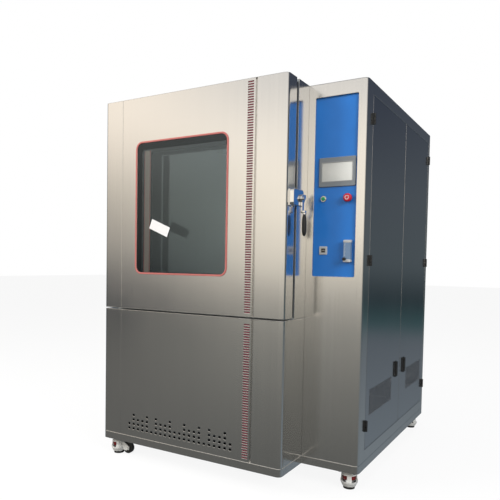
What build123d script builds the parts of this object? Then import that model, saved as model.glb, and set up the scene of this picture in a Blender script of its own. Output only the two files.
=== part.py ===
from build123d import *
from math import cos, floor, pi, sin
import os

# Free-standing dust test chamber. Millimetres, +Z up, front faces -Y, +X to the right of someone
# who stands in front of it. The origin is on the floor under the middle of the whole box.

# Outside of the body
chamber_width = 1112.0
cabinet_width = 291.0
cabinet_setback = 237.0
cabinet_depth = 1350.0
body_height = 1860.0
caster_height = 92.0
lower_height = 734.0
skirt_height = 40.0
skirt_edge = 1.5
corner_radius = 23.0
sheet = 1.5
split_gap = 8.0
door_depth = 94.0
seal_gap = 23.0
face_proud = 3.0
hinge_barrel = 13.0
fit = 0.3
running = 0.05

# Door front: window, slotted strip, groove and seam, measured from the left edge or the base
window_left = 222.0
window_width = 580.0
window_low = 927.0
window_height = 701.0
window_radius = 42.0
trim_width = 9.0
glass_thickness = 5.0
border_left = 40.0
border_top = 44.0
border_narrow = 10.0
strip_left = 903.0
strip_width = 32.0
slot_pitch = 11.9
slot_height = 5.6
groove_left = 944.0
groove_width = 10.0
groove_depth = 12.0
seam_left = 126.0
seam_width = 1.6
seam_depth = 0.8
vent_left = 191.0
vent_low = 83.0
vent_pitch_x = 30.8
vent_pitch_z = 25.0
vent_width = 14.0
vent_height = 12.0
vent_heights = [2, 4, 3, 3, 4, 1, 4, 3, 3, 4, 2, 2, 4, 3, 3, 4, 1, 4, 3, 3, 4, 2]

# Test space and the funnel under it
wall_side = 106.0
space_low = 804.0
space_high = 1760.0
space_depth = 1000.0
throat = 160.0
throat_low = 290.0
liner = 2.0
shelf_rise = 25.0
shelf_gap = 12.0
shelf_thick = 6.0
mesh_hole = 62.0
mesh_pitch = 72.0

# Dust circulation
wool = 92.0
duct_gap = 4.0
duct_width = 110.0
duct_wall = 2.0
scroll_radius = 150.0
scroll_width = 110.0
scroll_axis_z = 230.0
impeller_radius = 118.0
impeller_width = 70.0
blade_count = 12
shaft_radius = 8.0
motor_radius = 68.0
motor_length = 170.0
duct_top = 1640.0

# Door hinges on the left side
door_hinge_height = 110.0
door_hinge_leaf = 52.0
leaf_thick = 4.0
pin_radius = 3.5
door_hinge_levels = [880.0, 1297.0, 1714.0]

# Door latch on the right side of the door
latch_y = 31.0
latch_z = 1301.0
latch_height = 84.0
latch_proud = 24.0
latch_reach = 112.0
strike_start = 126.0
strike_reach = 62.0
strike_lift = 14.0
pivot_y = 116.0
hub_radius = 20.0
lever_thick = 10.0
lever_drop = 61.0
grip_offset = 12.0
grip_length = 115.0
grip_radius = 12.0

# Control panel
panel_left = 1147.0
panel_width = 213.0
panel_low = 937.0
panel_height = 858.0
panel_radius = 6.0
recess = 10.0
display_left = 1169.0
display_width = 184.0
display_low = 1367.0
display_height = 140.0
display_proud = 6.0
screen_width = 152.0
screen_height = 88.0
button_z = 1311.0
start_x = 1194.0
stop_x = 1320.0
button_bore = 11.0
ring_radius = 15.0
ring_proud = 5.0
cap_travel = 3.0
stop_travel = 4.0
mushroom_radius = 20.0
socket_x = 1199.0
socket_z = 1062.0
socket_width = 40.0
meter_x = 1325.5
meter_width = 35.0
meter_low = 1008.0
meter_height = 104.0
meter_proud = 22.0
meter_bore = 5.2
float_radius = 4.6
knob_x = 1314.0
knob_z = 1022.0
knob_radius = 7.5

# Service doors on the right side
door_low = 98.0
door_high = 1800.0
front_door_start = 328.0
door_meeting = 945.0
rear_door_end = 1525.0
door_gap = 2.0
door_return = 20.0
hinge_levels = [214.0, 1017.0, 1688.0]
hinge_height = 52.0
hinge_leaf = 10.0
grille_height = 125.0
grille_low = 258.0
grille_margin_hinge = 60.0
grille_margin_free = 154.0
grille_pitch = 15.0
grille_hole = 8.0
handle_offset = 86.0
handle_low = 367.0
handle_height = 90.0
handle_width = 30.0
handle_proud = 11.0

# Machine space, cabinet inside, rear cover
plate_low = 480.0
plate_high = 1560.0
plate_start = 350.0
plate_end = 900.0
pump_start = 1060.0
cover_margin = 120.0
inlet_x = 1232.0
inlet_z = 224.0
inlet_width = 32.0
inlet_height = 24.0
inlet_wall = 2.0
inlet_flange = 9.0
inlet_depth = 24.0
inlet_pin_pitch = 8.0
inlet_pin_height = 8.0

# Base frame and casters
bar_width = 60.0
bar_wall = 3.0
caster_inset = 62.0
caster_plate = 92.0
caster_plate_thick = 5.0
bolt_spacing = 36.0
wheel_radius = 31.5
wheel_width = 24.0
wheel_trail = 63.0
foot_radius = 28.0
foot_height = 8.0
foot_travel = 10.0
wheel_lift = 2.0
thumb_radius = 30.5
thumb_low = 45.0
thumb_height = 19.0
stem_radius = 8.0
caster_turns = {"front_left": 10.0, "front_right": 110.0, "rear_left": 30.0, "rear_right": 150.0}

body_width = chamber_width + cabinet_width
body_depth = cabinet_setback + cabinet_depth
x_left = -body_width / 2
x_right = body_width / 2
x_inner = x_left + chamber_width
y_front = -body_depth / 2
y_rear = body_depth / 2
y_cabinet = y_front + cabinet_setback
y_door_back = y_front + door_depth
y_jamb = y_door_back + seal_gap
z_base = caster_height
z_top = z_base + body_height
z_floor = z_base + skirt_height
z_ledge = z_base + lower_height - split_gap / 2
z_door = z_base + lower_height + split_gap / 2
hinge_radius = hinge_barrel / 2

parts = {}


# A rectangular block between pairs of (low, high) values
def slab(x, y, z):
    low = (x[0], y[0], z[0])
    high = (x[1], y[1], z[1])
    size = [b - a for a, b in zip(low, high)]
    middle = [(a + b) / 2 for a, b in zip(low, high)]
    return Pos(*middle) * Box(*size)


# A round bar from one point to another
def rod(radius, start, end):
    way = Vector(*end) - Vector(*start)
    return extrude(Plane(origin=start, z_dir=way.normalized()) * Circle(radius), way.length)


# A plate in the XZ plane with rounded corners, thick along Y
def rounded_plate(x, z, radius, y):
    face = RectangleRounded(x[1] - x[0], z[1] - z[0], radius)
    plane = Plane(origin=((x[0] + x[1]) / 2, y[1], (z[0] + z[1]) / 2), x_dir=(1, 0, 0), z_dir=(0, -1, 0))
    return extrude(plane * face, y[1] - y[0])


# A plate in the YZ plane with rounded corners, thick along X
def side_plate(y, z, radius, x):
    face = RectangleRounded(y[1] - y[0], z[1] - z[0], radius)
    plane = Plane(origin=(x[0], (y[0] + y[1]) / 2, (z[0] + z[1]) / 2), x_dir=(0, 1, 0), z_dir=(1, 0, 0))
    return extrude(plane * face, x[1] - x[0])


# A hexagon head on a round shank, head on the side of the axis vector
def bolt(point, axis, shank, length, head):
    point, axis = Vector(*point), Vector(*axis)
    top = Plane(origin=point, z_dir=axis)
    cap = extrude(top * RegularPolygon(shank * 1.7, 6), head)
    return cap + rod(shank, point - axis * length, point)


# The plan outline of the body, drawn in by an inset, with rounded outer corners
def outline(inset, z_low, z_high):
    r = corner_radius - inset
    points = [
        (x_left + inset, y_front + inset),
        (x_inner - inset, y_front + inset),
        (x_inner - inset, y_cabinet + inset),
        (x_right - inset, y_cabinet + inset),
        (x_right - inset, y_rear - inset),
        (x_left + inset, y_rear - inset),
    ]
    face = make_face(Polyline(*points, close=True))
    inner_corner = Vector(x_inner - inset, y_cabinet + inset)
    corners = [v for v in face.vertices() if (Vector(v.X, v.Y) - inner_corner).length > 1]
    return Pos(0, 0, z_low) * extrude(fillet(corners, r), z_high - z_low)


# The folded outer sheet as a closed ring of wall, cut to the stretch that a panel covers
def wall(x, y, z, thickness=sheet):
    ring = outline(0, *z) - outline(thickness, *z)
    return ring & slab(x, y, z)


def keep(name, *solids):
    parts[name] = [solid for group in solids for solid in Compound([group]).solids()]


# Slots of the decorative strip, between two heights
def strip_slots(z_low, z_high, y):
    count = floor((z_high - z_low) / slot_pitch)
    x = (x_left + strip_left, x_left + strip_left + strip_width)
    start = z_low + (z_high - z_low - count * slot_pitch) / 2 + (slot_pitch - slot_height) / 2
    return [slab(x, y, (start + i * slot_pitch, start + i * slot_pitch + slot_height)) for i in range(count)]


# The pressed groove beside the strip: a slit in the face with a channel behind it
def groove_channel(z):
    x = (x_left + groove_left, x_left + groove_left + groove_width)
    wide = (x[0] - sheet, x[1] + sheet)
    outer = slab(wide, (y_front + sheet, y_front + groove_depth + sheet), z)
    return outer - slab(x, (y_front, y_front + groove_depth), (z[0] - 1, z[1] + 1))


# A face sheet gets its groove, seam line and strip slots
def dress_face(face, z, strip):
    x = (x_left + groove_left, x_left + groove_left + groove_width)
    seam = x_left + seam_left
    cuts = [slab(x, (y_front - 1, y_front + sheet), (z[0] - 1, z[1] + 1)),
            slab((seam, seam + seam_width), (y_front - 1, y_front + seam_depth), (z[0] - 1, z[1] + 1))]
    return face - cuts - strip_slots(*strip, (y_front - 1, y_front + sheet + 1))


def strip_backing(strip):
    x = (x_left + strip_left - 4, x_left + strip_left + strip_width + 4)
    return slab(x, (y_front + sheet, y_front + 2 * sheet), strip)


# Welded frame of open channels, floor sheet, corner gussets, caster plates and their bolts
def base_frame():
    inside = outline(bar_wall, z_base - 1, z_floor - bar_wall)

    def channel(bar, x, y):
        return bar - (inside & slab((x[0] + bar_wall, x[1] - bar_wall), (y[0] + bar_wall, y[1] - bar_wall),
                                    (z_base - 1, z_floor)))

    whole = outline(0, z_base, z_floor)
    whole = chamfer(whole.faces().sort_by(Axis.Z)[-1].edges(), skirt_edge)
    rows = [
        ((x_left, x_inner), (y_front, y_front + bar_width)),
        ((x_inner, x_right), (y_cabinet, y_cabinet + bar_width)),
        ((x_left, x_right), (y_rear - bar_width, y_rear)),
        ((x_left, x_left + bar_width), (y_front + bar_width, y_rear - bar_width)),
        ((x_inner - bar_width, x_inner), (y_front + bar_width, y_rear - bar_width)),
        ((x_right - bar_width, x_right), (y_cabinet + bar_width, y_rear - bar_width)),
    ]
    for share in (1 / 3, 2 / 3):
        middle = y_front + body_depth * share
        rows.append(((x_left + bar_width, x_inner - bar_width), (middle - bar_width / 2, middle + bar_width / 2)))
    bars = []
    for x, y in rows:
        bar = whole & slab(x, y, (z_base, z_floor))
        bars.append(channel(bar, x, y))
    floor_sheet = outline(sheet + fit, z_floor, z_floor + sheet)
    deck = [floor_sheet & slab((x_left, x_inner), (y_front, y_rear), (z_floor, z_floor + sheet)),
            floor_sheet & slab((x_inner, x_right), (y_cabinet, y_rear), (z_floor, z_floor + sheet))]
    plates, gussets, bolts = [], [], []
    for x, y, x_in, y_in in caster_places():
        near_x, far_x = sorted((x + x_in * (bar_width - caster_inset), x + x_in * caster_plate / 2))
        near_y, far_y = sorted((y + y_in * (bar_width - caster_inset), y + y_in * caster_plate / 2))
        gussets.append(slab((near_x, far_x), (near_y, far_y), (z_base, z_base + 8)))
        half = caster_plate / 2
        plate = slab((x - half, x + half), (y - half, y + half), (z_base - caster_plate_thick, z_base))
        for dx in (-bolt_spacing, bolt_spacing):
            for dy in (-bolt_spacing, bolt_spacing):
                spot = (x + dx, y + dy, z_base - caster_plate_thick)
                fixing = bolt(spot, (0, 0, -1), 4, caster_plate_thick, 4.5)
                plate -= rod(4, spot, (x + dx, y + dy, z_base))
                bolts.append(fixing)
        plates.append(plate)
    keep("base_frame", *bars, *deck, *gussets, *plates, *bolts)


# Where the casters stand, and which way is inward from each
def caster_places():
    right = x_right - caster_inset
    left = x_left + caster_inset
    return [(left, y_front + caster_inset, 1, 1), (right, y_cabinet + caster_inset, -1, 1),
            (left, y_rear - caster_inset, 1, -1), (right, y_rear - caster_inset, -1, -1)]


# One levelling caster with its foot run down to the floor: foot axis at the origin, wheel towards +X
def caster_shapes():
    head_top = caster_height - caster_plate_thick - fit
    thumb_top = thumb_low + thumb_height
    inside = thumb_radius + 4
    rim = foot_height + 4.5
    mouth = foot_radius + 1
    axle_z = wheel_radius + wheel_lift
    profile = [(0, head_top), (25, head_top), (27, head_top - 9), (inside + 4, thumb_top + 4),
               (inside + 5, thumb_low + 4), (inside + 7.5, thumb_low - 8), (inside + 6.5, thumb_low - 15),
               (mouth + 3.5, rim), (mouth, rim), (inside, thumb_low - 12), (inside, thumb_top + fit),
               (0, thumb_top + fit)]
    bell = revolve(Plane.XZ * make_face(Polyline(*profile, close=True)), Axis.Z)
    window = slab((0, 60), (-26, 26), (thumb_low - 9, thumb_top + 3))
    windows = [Rot(0, 0, angle) * window for angle in (122, -122)]
    half = wheel_width / 2 + 2.5
    slot = slab((20, 60), (-half, half), (0, axle_z + wheel_radius + 3))
    bell = bell - windows - slot
    side = [(30, thumb_top + 3), (44, thumb_top + 3), (wheel_trail + 13, axle_z + 8), (wheel_trail + 12, axle_z - 8),
            (wheel_trail - 6, axle_z - 13), (32, 24)]
    for y in (-half - 4.5, half):
        cheek = extrude(Plane(origin=(0, y, 0), x_dir=(1, 0, 0), z_dir=(0, -1, 0)) * make_face(Polyline(*side, close=True)), -4.5)
        bell += cheek
    axle_end = half + 7.5
    axle = rod(4, (wheel_trail, -half, axle_z), (wheel_trail, half, axle_z))
    heads = [rod(7, (wheel_trail, s * (half + 4.5), axle_z), (wheel_trail, s * axle_end, axle_z)) for s in (-1, 1)]
    housing = [bell, axle] + heads
    tyre = rod(wheel_radius, (wheel_trail, -wheel_width / 2, axle_z), (wheel_trail, wheel_width / 2, axle_z))
    tyre = fillet(tyre.edges().filter_by(GeomType.CIRCLE), 4)
    hub = rod(10, (wheel_trail, -half + fit, axle_z), (wheel_trail, half - fit, axle_z))
    wheel = tyre + hub - rod(4 + running, (wheel_trail, -half, axle_z), (wheel_trail, half, axle_z))
    thumb = rod(thumb_radius, (0, 0, thumb_low), (0, 0, thumb_top))
    notches = [Rot(0, 0, 30 * i) * rod(3, (thumb_radius + 1, 0, thumb_low - 1), (thumb_radius + 1, 0, thumb_top + 1))
               for i in range(12)]
    thumb = thumb - notches - rod(stem_radius + running, (0, 0, thumb_low), (0, 0, thumb_top))
    foot = rod(foot_radius, (0, 0, 0), (0, 0, foot_height))
    foot = chamfer(foot.edges().filter_by(GeomType.CIRCLE).sort_by(Axis.Z)[-1], 3)
    foot += rod(stem_radius, (0, 0, foot_height), (0, 0, thumb_top - 1 - foot_travel))
    return housing, wheel, thumb, foot


def casters():
    housing, wheel, thumb, foot = caster_shapes()
    for name, (x, y, _, _) in zip(caster_turns, caster_places()):
        place = Pos(x, y, 0) * Rot(0, 0, caster_turns[name])
        keep("caster_housing_" + name, *[place * solid for solid in housing])
        keep("caster_wheel_" + name, place * wheel)
        keep("caster_thumbwheel_" + name, place * thumb)
        keep("caster_foot_" + name, place * foot)


# Lower block: front pan with rounded corners, side returns, ledge under the door, vents and strip
def lower_front():
    z = (z_floor, z_ledge - sheet)
    fold = corner_radius + 7
    strip = (z[0] + 8, z[1] - 18)
    pan = wall((x_left, x_inner), (y_front, y_front + fold), z)
    pan = dress_face(pan, z, strip)
    holes = []
    for column, height in enumerate(vent_heights):
        for row in range(height):
            x = x_left + vent_left + column * vent_pitch_x
            low = z_base + vent_low + row * vent_pitch_z
            holes.append(slab((x - vent_width / 2, x + vent_width / 2), (y_front - 1, y_front + 3),
                              (low - vent_height / 2, low + vent_height / 2)))
    pan = pan - holes + groove_channel((z[0] + sheet, z[1]))
    left = slab((x_left, x_left + sheet), (y_front + fold, y_jamb), z)
    right = slab((x_inner - sheet, x_inner), (y_front + fold, y_cabinet), z)
    ledge = outline(0, z[1], z_ledge) & slab((x_left, x_inner), (y_front, y_jamb), (z[1], z_ledge))
    keep("lower_front_panel", pan, left, right, ledge)
    keep("lower_strip_backing", strip_backing(strip))


def outer_panels():
    z = (z_floor, z_top - sheet)
    fold = corner_radius + 7
    left = wall((x_left, x_left + fold), (y_jamb, y_rear), z)
    upper = slab((x_inner - sheet, x_inner), (y_jamb, y_rear - sheet), (z_ledge, z[1]))
    lower = slab((x_inner - sheet, x_inner), (y_cabinet, y_rear - sheet), (z[0] + sheet, z_ledge))
    keep("chamber_side_panels", left, upper, lower)
    top = outline(0, z_top - sheet, z_top)
    keep("top_panel", top & slab((x_left, x_inner), (y_jamb, y_rear), (z_top - sheet, z_top)),
         top & slab((x_inner, x_right), (y_cabinet, y_rear), (z_top - sheet, z_top)))
    back = (y_rear - sheet, y_rear)
    split = z_ledge - 6
    upper_rear = slab((x_left + fold, x_inner), back, (split, z[1]))
    lower_rear = slab((x_left + fold, x_inner), back, (z[0], split))
    cabinet_rear = slab((x_inner, x_right - fold), back, z)
    cover_x = (x_left + cover_margin, x_inner - cover_margin)
    cover_z = (z_floor + 80, split - 60)
    cover = slab(cover_x, (y_rear, y_rear + face_proud), cover_z)
    slots = []
    for side in (0.27, 0.73):
        middle = cover_x[0] + (cover_x[1] - cover_x[0]) * side
        for row in range(12):
            low = cover_z[0] + 120 + row * 22
            slots.append(slab((middle - 110, middle + 110), (back[0] - 1, y_rear + face_proud + 1), (low, low + 8)))
    vents = []
    for row in range(10):
        low = z_top - 260 + row * 18
        vents.append(slab((x_inner + 60, x_right - 70), (back[0] - 1, y_rear + 1), (low, low + 7)))
    hole = inlet_block(inlet_width / 2 + fit, inlet_height / 2 + fit, (back[0] - 1, y_rear + 1))
    keep("rear_panel", upper_rear, lower_rear - slots, cabinet_rear - vents - hole, cover - slots)


# A block centred on the power inlet
def inlet_block(half_x, half_z, y):
    x, z = x_left + inlet_x, z_base + inlet_z
    return slab((x - half_x, x + half_x), y, (z - half_z, z + half_z))


# Appliance inlet low on the back of the cabinet: flanged body with three flat pins in its cavity
def power_inlet():
    half_x, half_z = inlet_width / 2, inlet_height / 2
    outer = y_rear + face_proud
    floor_y = outer - inlet_depth
    body = inlet_block(half_x + inlet_flange, half_z + inlet_flange / 2, (y_rear, outer))
    body = fillet(body.edges().filter_by(Axis.Y), 3)
    body += inlet_block(half_x, half_z, (floor_y - 6, y_rear))
    body -= inlet_block(half_x - inlet_wall, half_z - inlet_wall, (floor_y, outer + 1))
    for place in (-1, 0, 1):
        body += Pos(place * inlet_pin_pitch, 0, 0) * inlet_block(1, inlet_pin_height / 2, (floor_y, outer - 4))
    keep("power_inlet", body)


# Steel frame of the cabinet: front plate with the recess, corner posts, rails and door stops
def cabinet_frame():
    z = (z_floor, z_top - sheet)
    fold = corner_radius + 7
    panel_x = (x_left + panel_left, x_left + panel_left + panel_width)
    panel_z = (z_base + panel_low, z_base + panel_low + panel_height)
    front = slab((x_inner, x_right - fold), (y_cabinet, y_cabinet + sheet), z)
    front -= rounded_plate(panel_x, panel_z, panel_radius, (y_cabinet - 1, y_cabinet + 3))
    depth = (y_cabinet + sheet, y_cabinet + recess)
    along_x = (panel_x[0] + panel_radius, panel_x[1] - panel_radius)
    along_z = (panel_z[0] + panel_radius, panel_z[1] - panel_radius)
    rim = [slab((panel_x[0] - sheet, panel_x[0]), depth, along_z), slab((panel_x[1], panel_x[1] + sheet), depth, along_z),
           slab(along_x, depth, (panel_z[0] - sheet, panel_z[0])), slab(along_x, depth, (panel_z[1], panel_z[1] + sheet))]
    opening_y = (y_front + front_door_start - door_gap, y_front + rear_door_end + door_gap)
    opening_z = (z_base + door_low - door_gap, z_base + door_high + door_gap)
    front_post = wall((x_right - fold, x_right), (y_cabinet, opening_y[0]), z)
    rear_post = wall((x_right - fold, x_right), (opening_y[1], y_rear), z)
    skin = (x_right - sheet, x_right)
    rails = [slab(skin, opening_y, (z[0], opening_z[0])), slab(skin, opening_y, (opening_z[1], z[1]))]
    stop_x = (x_right - door_return - 5, x_right - door_return - 2)
    stops = [slab(stop_x, (opening_y[0] - 14, opening_y[0] + 14), opening_z),
             slab(stop_x, (opening_y[1] - 14, opening_y[1] + 14), opening_z),
             slab((stop_x[0] - 20, stop_x[1]), (y_front + door_meeting - 20, y_front + door_meeting + 20), opening_z)]
    across = (opening_y[0] - 14, opening_y[1] + 14)
    stops.append(slab((stop_x[0], x_right - sheet), across, (z[0] + sheet, opening_z[0])))
    stops.append(slab((stop_x[0], x_right - sheet), across, (opening_z[1], z[1])))
    for y, side in ((opening_y[0], -1), (opening_y[1], 1)):
        web = sorted((y, y + side * sheet))
        stops.append(slab((stop_x[1], x_right - sheet), web, opening_z))
    keep("cabinet_frame", front, *rim, front_post, rear_post, *rails, *stops)


def control_panel():
    face = y_cabinet + recess
    back = face + 2
    panel_x = (x_left + panel_left - 8, x_left + panel_left + panel_width + 8)
    panel_z = (z_base + panel_low - 8, z_base + panel_low + panel_height + 8)
    plate = rounded_plate(panel_x, panel_z, panel_radius, (face, back))
    display_x = (x_left + display_left, x_left + display_left + display_width)
    display_z = (z_base + display_low, z_base + display_low + display_height)
    body_x = (display_x[0] + 6, display_x[1] - 6)
    body_z = (display_z[0] + 6, display_z[1] - 6)
    plate -= rounded_plate(body_x, body_z, 3, (face - 1, back + 1))
    for x in (start_x, stop_x):
        spot = (x_left + x, z_base + button_z)
        plate -= rod(button_bore + fit, (spot[0], face - 1, spot[1]), (spot[0], back + 1, spot[1]))
    for z in (meter_low + 18, meter_low + meter_height - 18):
        plate -= rod(6, (x_left + meter_x, face - 1, z_base + z), (x_left + meter_x, back + 1, z_base + z))
    keep("control_panel", plate)

    bezel = rounded_plate(display_x, display_z, 6, (face - display_proud, face))
    bezel = chamfer(bezel.faces().sort_by(Axis.Y)[0].edges(), 2)
    middle = ((display_x[0] + display_x[1]) / 2, (display_z[0] + display_z[1]) / 2)
    screen_x = (middle[0] - screen_width / 2, middle[0] + screen_width / 2)
    screen_z = (middle[1] - screen_height / 2, middle[1] + screen_height / 2)
    bezel -= slab(screen_x, (face - display_proud - 1, face - display_proud + 1.2), screen_z)
    keep("touch_panel", bezel + rounded_plate(body_x, body_z, 3, (face, face + 40)))

    rings = []
    for x in (start_x, stop_x):
        spot = (x_left + x, z_base + button_z)
        ring = rod(ring_radius, (spot[0], face - ring_proud, spot[1]), (spot[0], face, spot[1]))
        ring = chamfer(ring.faces().sort_by(Axis.Y)[0].edges(), 1.5)
        ring += rod(button_bore, (spot[0], face, spot[1]), (spot[0], face + 42, spot[1]))
        ring -= rod(button_bore - 2, (spot[0], face - ring_proud - 1, spot[1]), (spot[0], face + 36, spot[1]))
        rings.append(ring)
    keep("button_rings", *rings)

    cap_radius = button_bore - 2 - running
    x, z = x_left + start_x, z_base + button_z
    cap = rod(cap_radius, (x, face - ring_proud - 4, z), (x, face + 36 - cap_travel - 0.5, z))
    keep("start_button", chamfer(cap.faces().sort_by(Axis.Y)[0].edges(), 1))
    x = x_left + stop_x
    head = rod(mushroom_radius, (x, face - 28, z), (x, face - ring_proud - stop_travel - 1, z))
    head = fillet(head.faces().sort_by(Axis.Y)[0].edges(), 8)
    keep("emergency_button", head + rod(cap_radius, (x, face - ring_proud - stop_travel - 1, z),
                                        (x, face + 36 - stop_travel - 0.5, z)))

    x, z, half = x_left + socket_x, z_base + socket_z, socket_width / 2
    socket = rounded_plate((x - half, x + half), (z - half, z + half), 3, (face - 4, face))
    socket = chamfer(socket.faces().sort_by(Axis.Y)[0].edges(), 1)
    socket -= rounded_plate((x - half + 9, x + half - 9), (z - half + 10, z + half - 10), 2, (face - 5, face - 1))
    keep("specimen_socket", socket)
    flow_meter(face, back)


# Panel flow meter: clear block with a bored tube, float, and a needle valve knob
def flow_meter(face, back):
    x = (x_left + meter_x - meter_width / 2, x_left + meter_x + meter_width / 2)
    z = (z_base + meter_low, z_base + meter_low + meter_height)
    middle = x_left + meter_x
    block = rounded_plate(x, z, 3, (face - meter_proud, face))
    for level in (z[0] + 18, z[1] - 18):
        block += rod(6 - fit, (middle, face, level), (middle, back + 26, level))
    bore_y = face - meter_proud + 9
    low, high = z[0] + 28, z[1] - 14
    block -= rod(meter_bore, (middle, bore_y, low), (middle, bore_y, high))
    knob_point = (x_left + knob_x, z_base + knob_z)
    socket_end = face - meter_proud + 10
    block -= rod(3 + running, (knob_point[0], face - meter_proud - 1, knob_point[1]), (knob_point[0], socket_end, knob_point[1]))
    keep("flow_meter_body", block)
    keep("flow_meter_float", Pos(middle, bore_y, low + float_radius + 0.1) * Sphere(float_radius))
    front = face - meter_proud - 13
    knob = rod(knob_radius, (knob_point[0], front, knob_point[1]), (knob_point[0], face - meter_proud - 0.5, knob_point[1]))
    flutes = []
    for i in range(10):
        angle = 2 * pi * i / 10
        spot = (knob_point[0] + (knob_radius + 0.6) * cos(angle), knob_point[1] + (knob_radius + 0.6) * sin(angle))
        flutes.append(rod(1.3, (spot[0], front - 1, spot[1]), (spot[0], face, spot[1])))
    knob = knob - flutes
    knob += rod(3, (knob_point[0], face - meter_proud - 0.5, knob_point[1]), (knob_point[0], socket_end - 0.5, knob_point[1]))
    keep("flow_meter_knob", knob)


# Main door: outer pan, liner, foam core, two panes in a dark spacer, red trim, seal
def main_door():
    z = (z_door, z_top)
    x = (x_left, x_inner)
    pan_z = (z[0] + sheet, z[1] - sheet)
    window_x = (x_left + window_left, x_left + window_left + window_width)
    window_z = (z_base + window_low, z_base + window_low + window_height)
    hole_x = (window_x[0] + trim_width, window_x[1] - trim_width)
    hole_z = (window_z[0] + trim_width, window_z[1] - trim_width)
    hole_radius = window_radius - trim_width
    strip = (z[0] + 14, z[1] - 8)

    def door_block(inset, y, z):
        face = Pos(chamber_width / 2 + x_left, (y[0] + y[1]) / 2) * Rectangle(chamber_width - 2 * inset, y[1] - y[0])
        front_corners = face.vertices().sort_by(Axis.Y)[:2]
        return Pos(0, 0, z[0]) * extrude(fillet(front_corners, corner_radius - inset), z[1] - z[0])

    outer = door_block(0, (y_front, y_door_back - sheet), z)
    inner = door_block(sheet, (y_front + sheet, y_door_back + 5), pan_z)
    shell = outer - inner
    shell = dress_face(shell, z, strip)
    shell -= rounded_plate(hole_x, hole_z, hole_radius, (y_front - 1, y_front + sheet + 1))
    keep("door_shell", shell + groove_channel(pan_z))
    keep("door_strip_backing", strip_backing(strip))

    liner_plate = rounded_plate((x[0] + 3, x[1] - 3), (z[0] + 3, z[1] - 3), 8, (y_door_back - sheet, y_door_back))
    spacer_x = (window_x[0] - 12, window_x[1] + 12)
    spacer_z = (window_z[0] - 12, window_z[1] + 12)
    inner_x = (window_x[0] + border_left, window_x[1] - border_narrow)
    inner_z = (window_z[0] + border_narrow, window_z[1] - border_top)
    liner_plate -= rounded_plate(inner_x, inner_z, 12, (y_door_back - 5, y_door_back + 5))
    keep("door_liner", liner_plate)

    pane_front = (y_front + sheet, y_front + sheet + glass_thickness)
    pane_back = (y_door_back - sheet - glass_thickness, y_door_back - sheet)
    panes = [rounded_plate(spacer_x, spacer_z, 8, y) for y in (pane_front, pane_back)]
    keep("window_panes", *panes)
    spacer = slab(spacer_x, (pane_front[1], pane_back[0]), spacer_z)
    spacer -= rounded_plate(inner_x, inner_z, 12, (pane_front[1] - 1, pane_back[0] + 1))
    keep("window_spacer", spacer)
    trim = rounded_plate(window_x, window_z, window_radius, (y_front - face_proud, y_front))
    trim -= rounded_plate(hole_x, hole_z, hole_radius, (y_front - face_proud - 1, y_front + 1))
    keep("window_trim", trim)

    foam_y = (y_front + groove_depth + 2 * sheet, y_door_back - sheet)
    foam_x = (x[0] + sheet, x[1] - sheet)
    blocks = [slab(foam_x, foam_y, (pan_z[0], spacer_z[0])), slab(foam_x, foam_y, (spacer_z[1], pan_z[1])),
              slab((foam_x[0], spacer_x[0]), foam_y, spacer_z), slab((spacer_x[1], foam_x[1]), foam_y, spacer_z)]
    body = door_block(sheet, (y_front + sheet, y_door_back), pan_z)
    keep("door_insulation", *[block & body for block in blocks])

    edge, band = 8, 26
    outer_x, outer_z = (x[0] + edge, x[1] - edge), (z[0] + edge, z[1] - edge)
    seal_y = (y_door_back, y_jamb - fit)
    seal = rounded_plate(outer_x, outer_z, 10, seal_y)
    seal -= rounded_plate((outer_x[0] + band, outer_x[1] - band), (outer_z[0] + band, outer_z[1] - band), 6,
                          (seal_y[0] - 1, seal_y[1] + 1))
    keep("door_gasket", seal)


# A hinge: two leaves, three knuckles and a pin. The moving leaf lies on the side given by way.
def hinge(x_face, side, y_axis, z_middle, height, leaf, way):
    x_axis = x_face + side * hinge_radius
    third = height / 3
    low = z_middle - height / 2
    levels = [low, low + third, low + 2 * third, low + height]

    def knuckle(start, end):
        return rod(hinge_radius, (x_axis, y_axis, start), (x_axis, y_axis, end))

    def leaf_plate(direction, z):
        leaf_x = sorted((x_face, x_face + side * leaf_thick))
        return slab(leaf_x, sorted((y_axis, y_axis + direction * leaf)), z)

    moving = knuckle(levels[1] + fit, levels[2] - fit)
    moving += leaf_plate(way, (levels[1] + fit, levels[2] - fit))
    side_leaf = slab(sorted((x_face, x_face + side * leaf_thick)),
                     sorted((y_axis + way * (hinge_radius + 1), y_axis + way * leaf)), (low, levels[3]))
    moving = moving + side_leaf - rod(pin_radius + running, (x_axis, y_axis, low - 1), (x_axis, y_axis, levels[3] + 1))
    fixed = knuckle(levels[0], levels[1]) + knuckle(levels[2], levels[3])
    fixed += leaf_plate(-way, (levels[0], levels[1])) + leaf_plate(-way, (levels[2], levels[3]))
    fixed += slab(sorted((x_face, x_face + side * leaf_thick)),
                  sorted((y_axis - way * (hinge_radius + 1), y_axis - way * leaf)), (low, levels[3]))
    pin = rod(pin_radius, (x_axis, y_axis, low), (x_axis, y_axis, levels[3]))
    return moving, fixed + pin


def door_hinges():
    moving, fixed = [], []
    y_axis = y_door_back + seal_gap / 2
    for level in door_hinge_levels:
        leaf, post = hinge(x_left, -1, y_axis, z_base + level, door_hinge_height, door_hinge_leaf, -1)
        moving.append(leaf)
        fixed.append(post)
    keep("door_hinge_leaves", *moving)
    keep("door_hinge_posts", *fixed)


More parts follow.
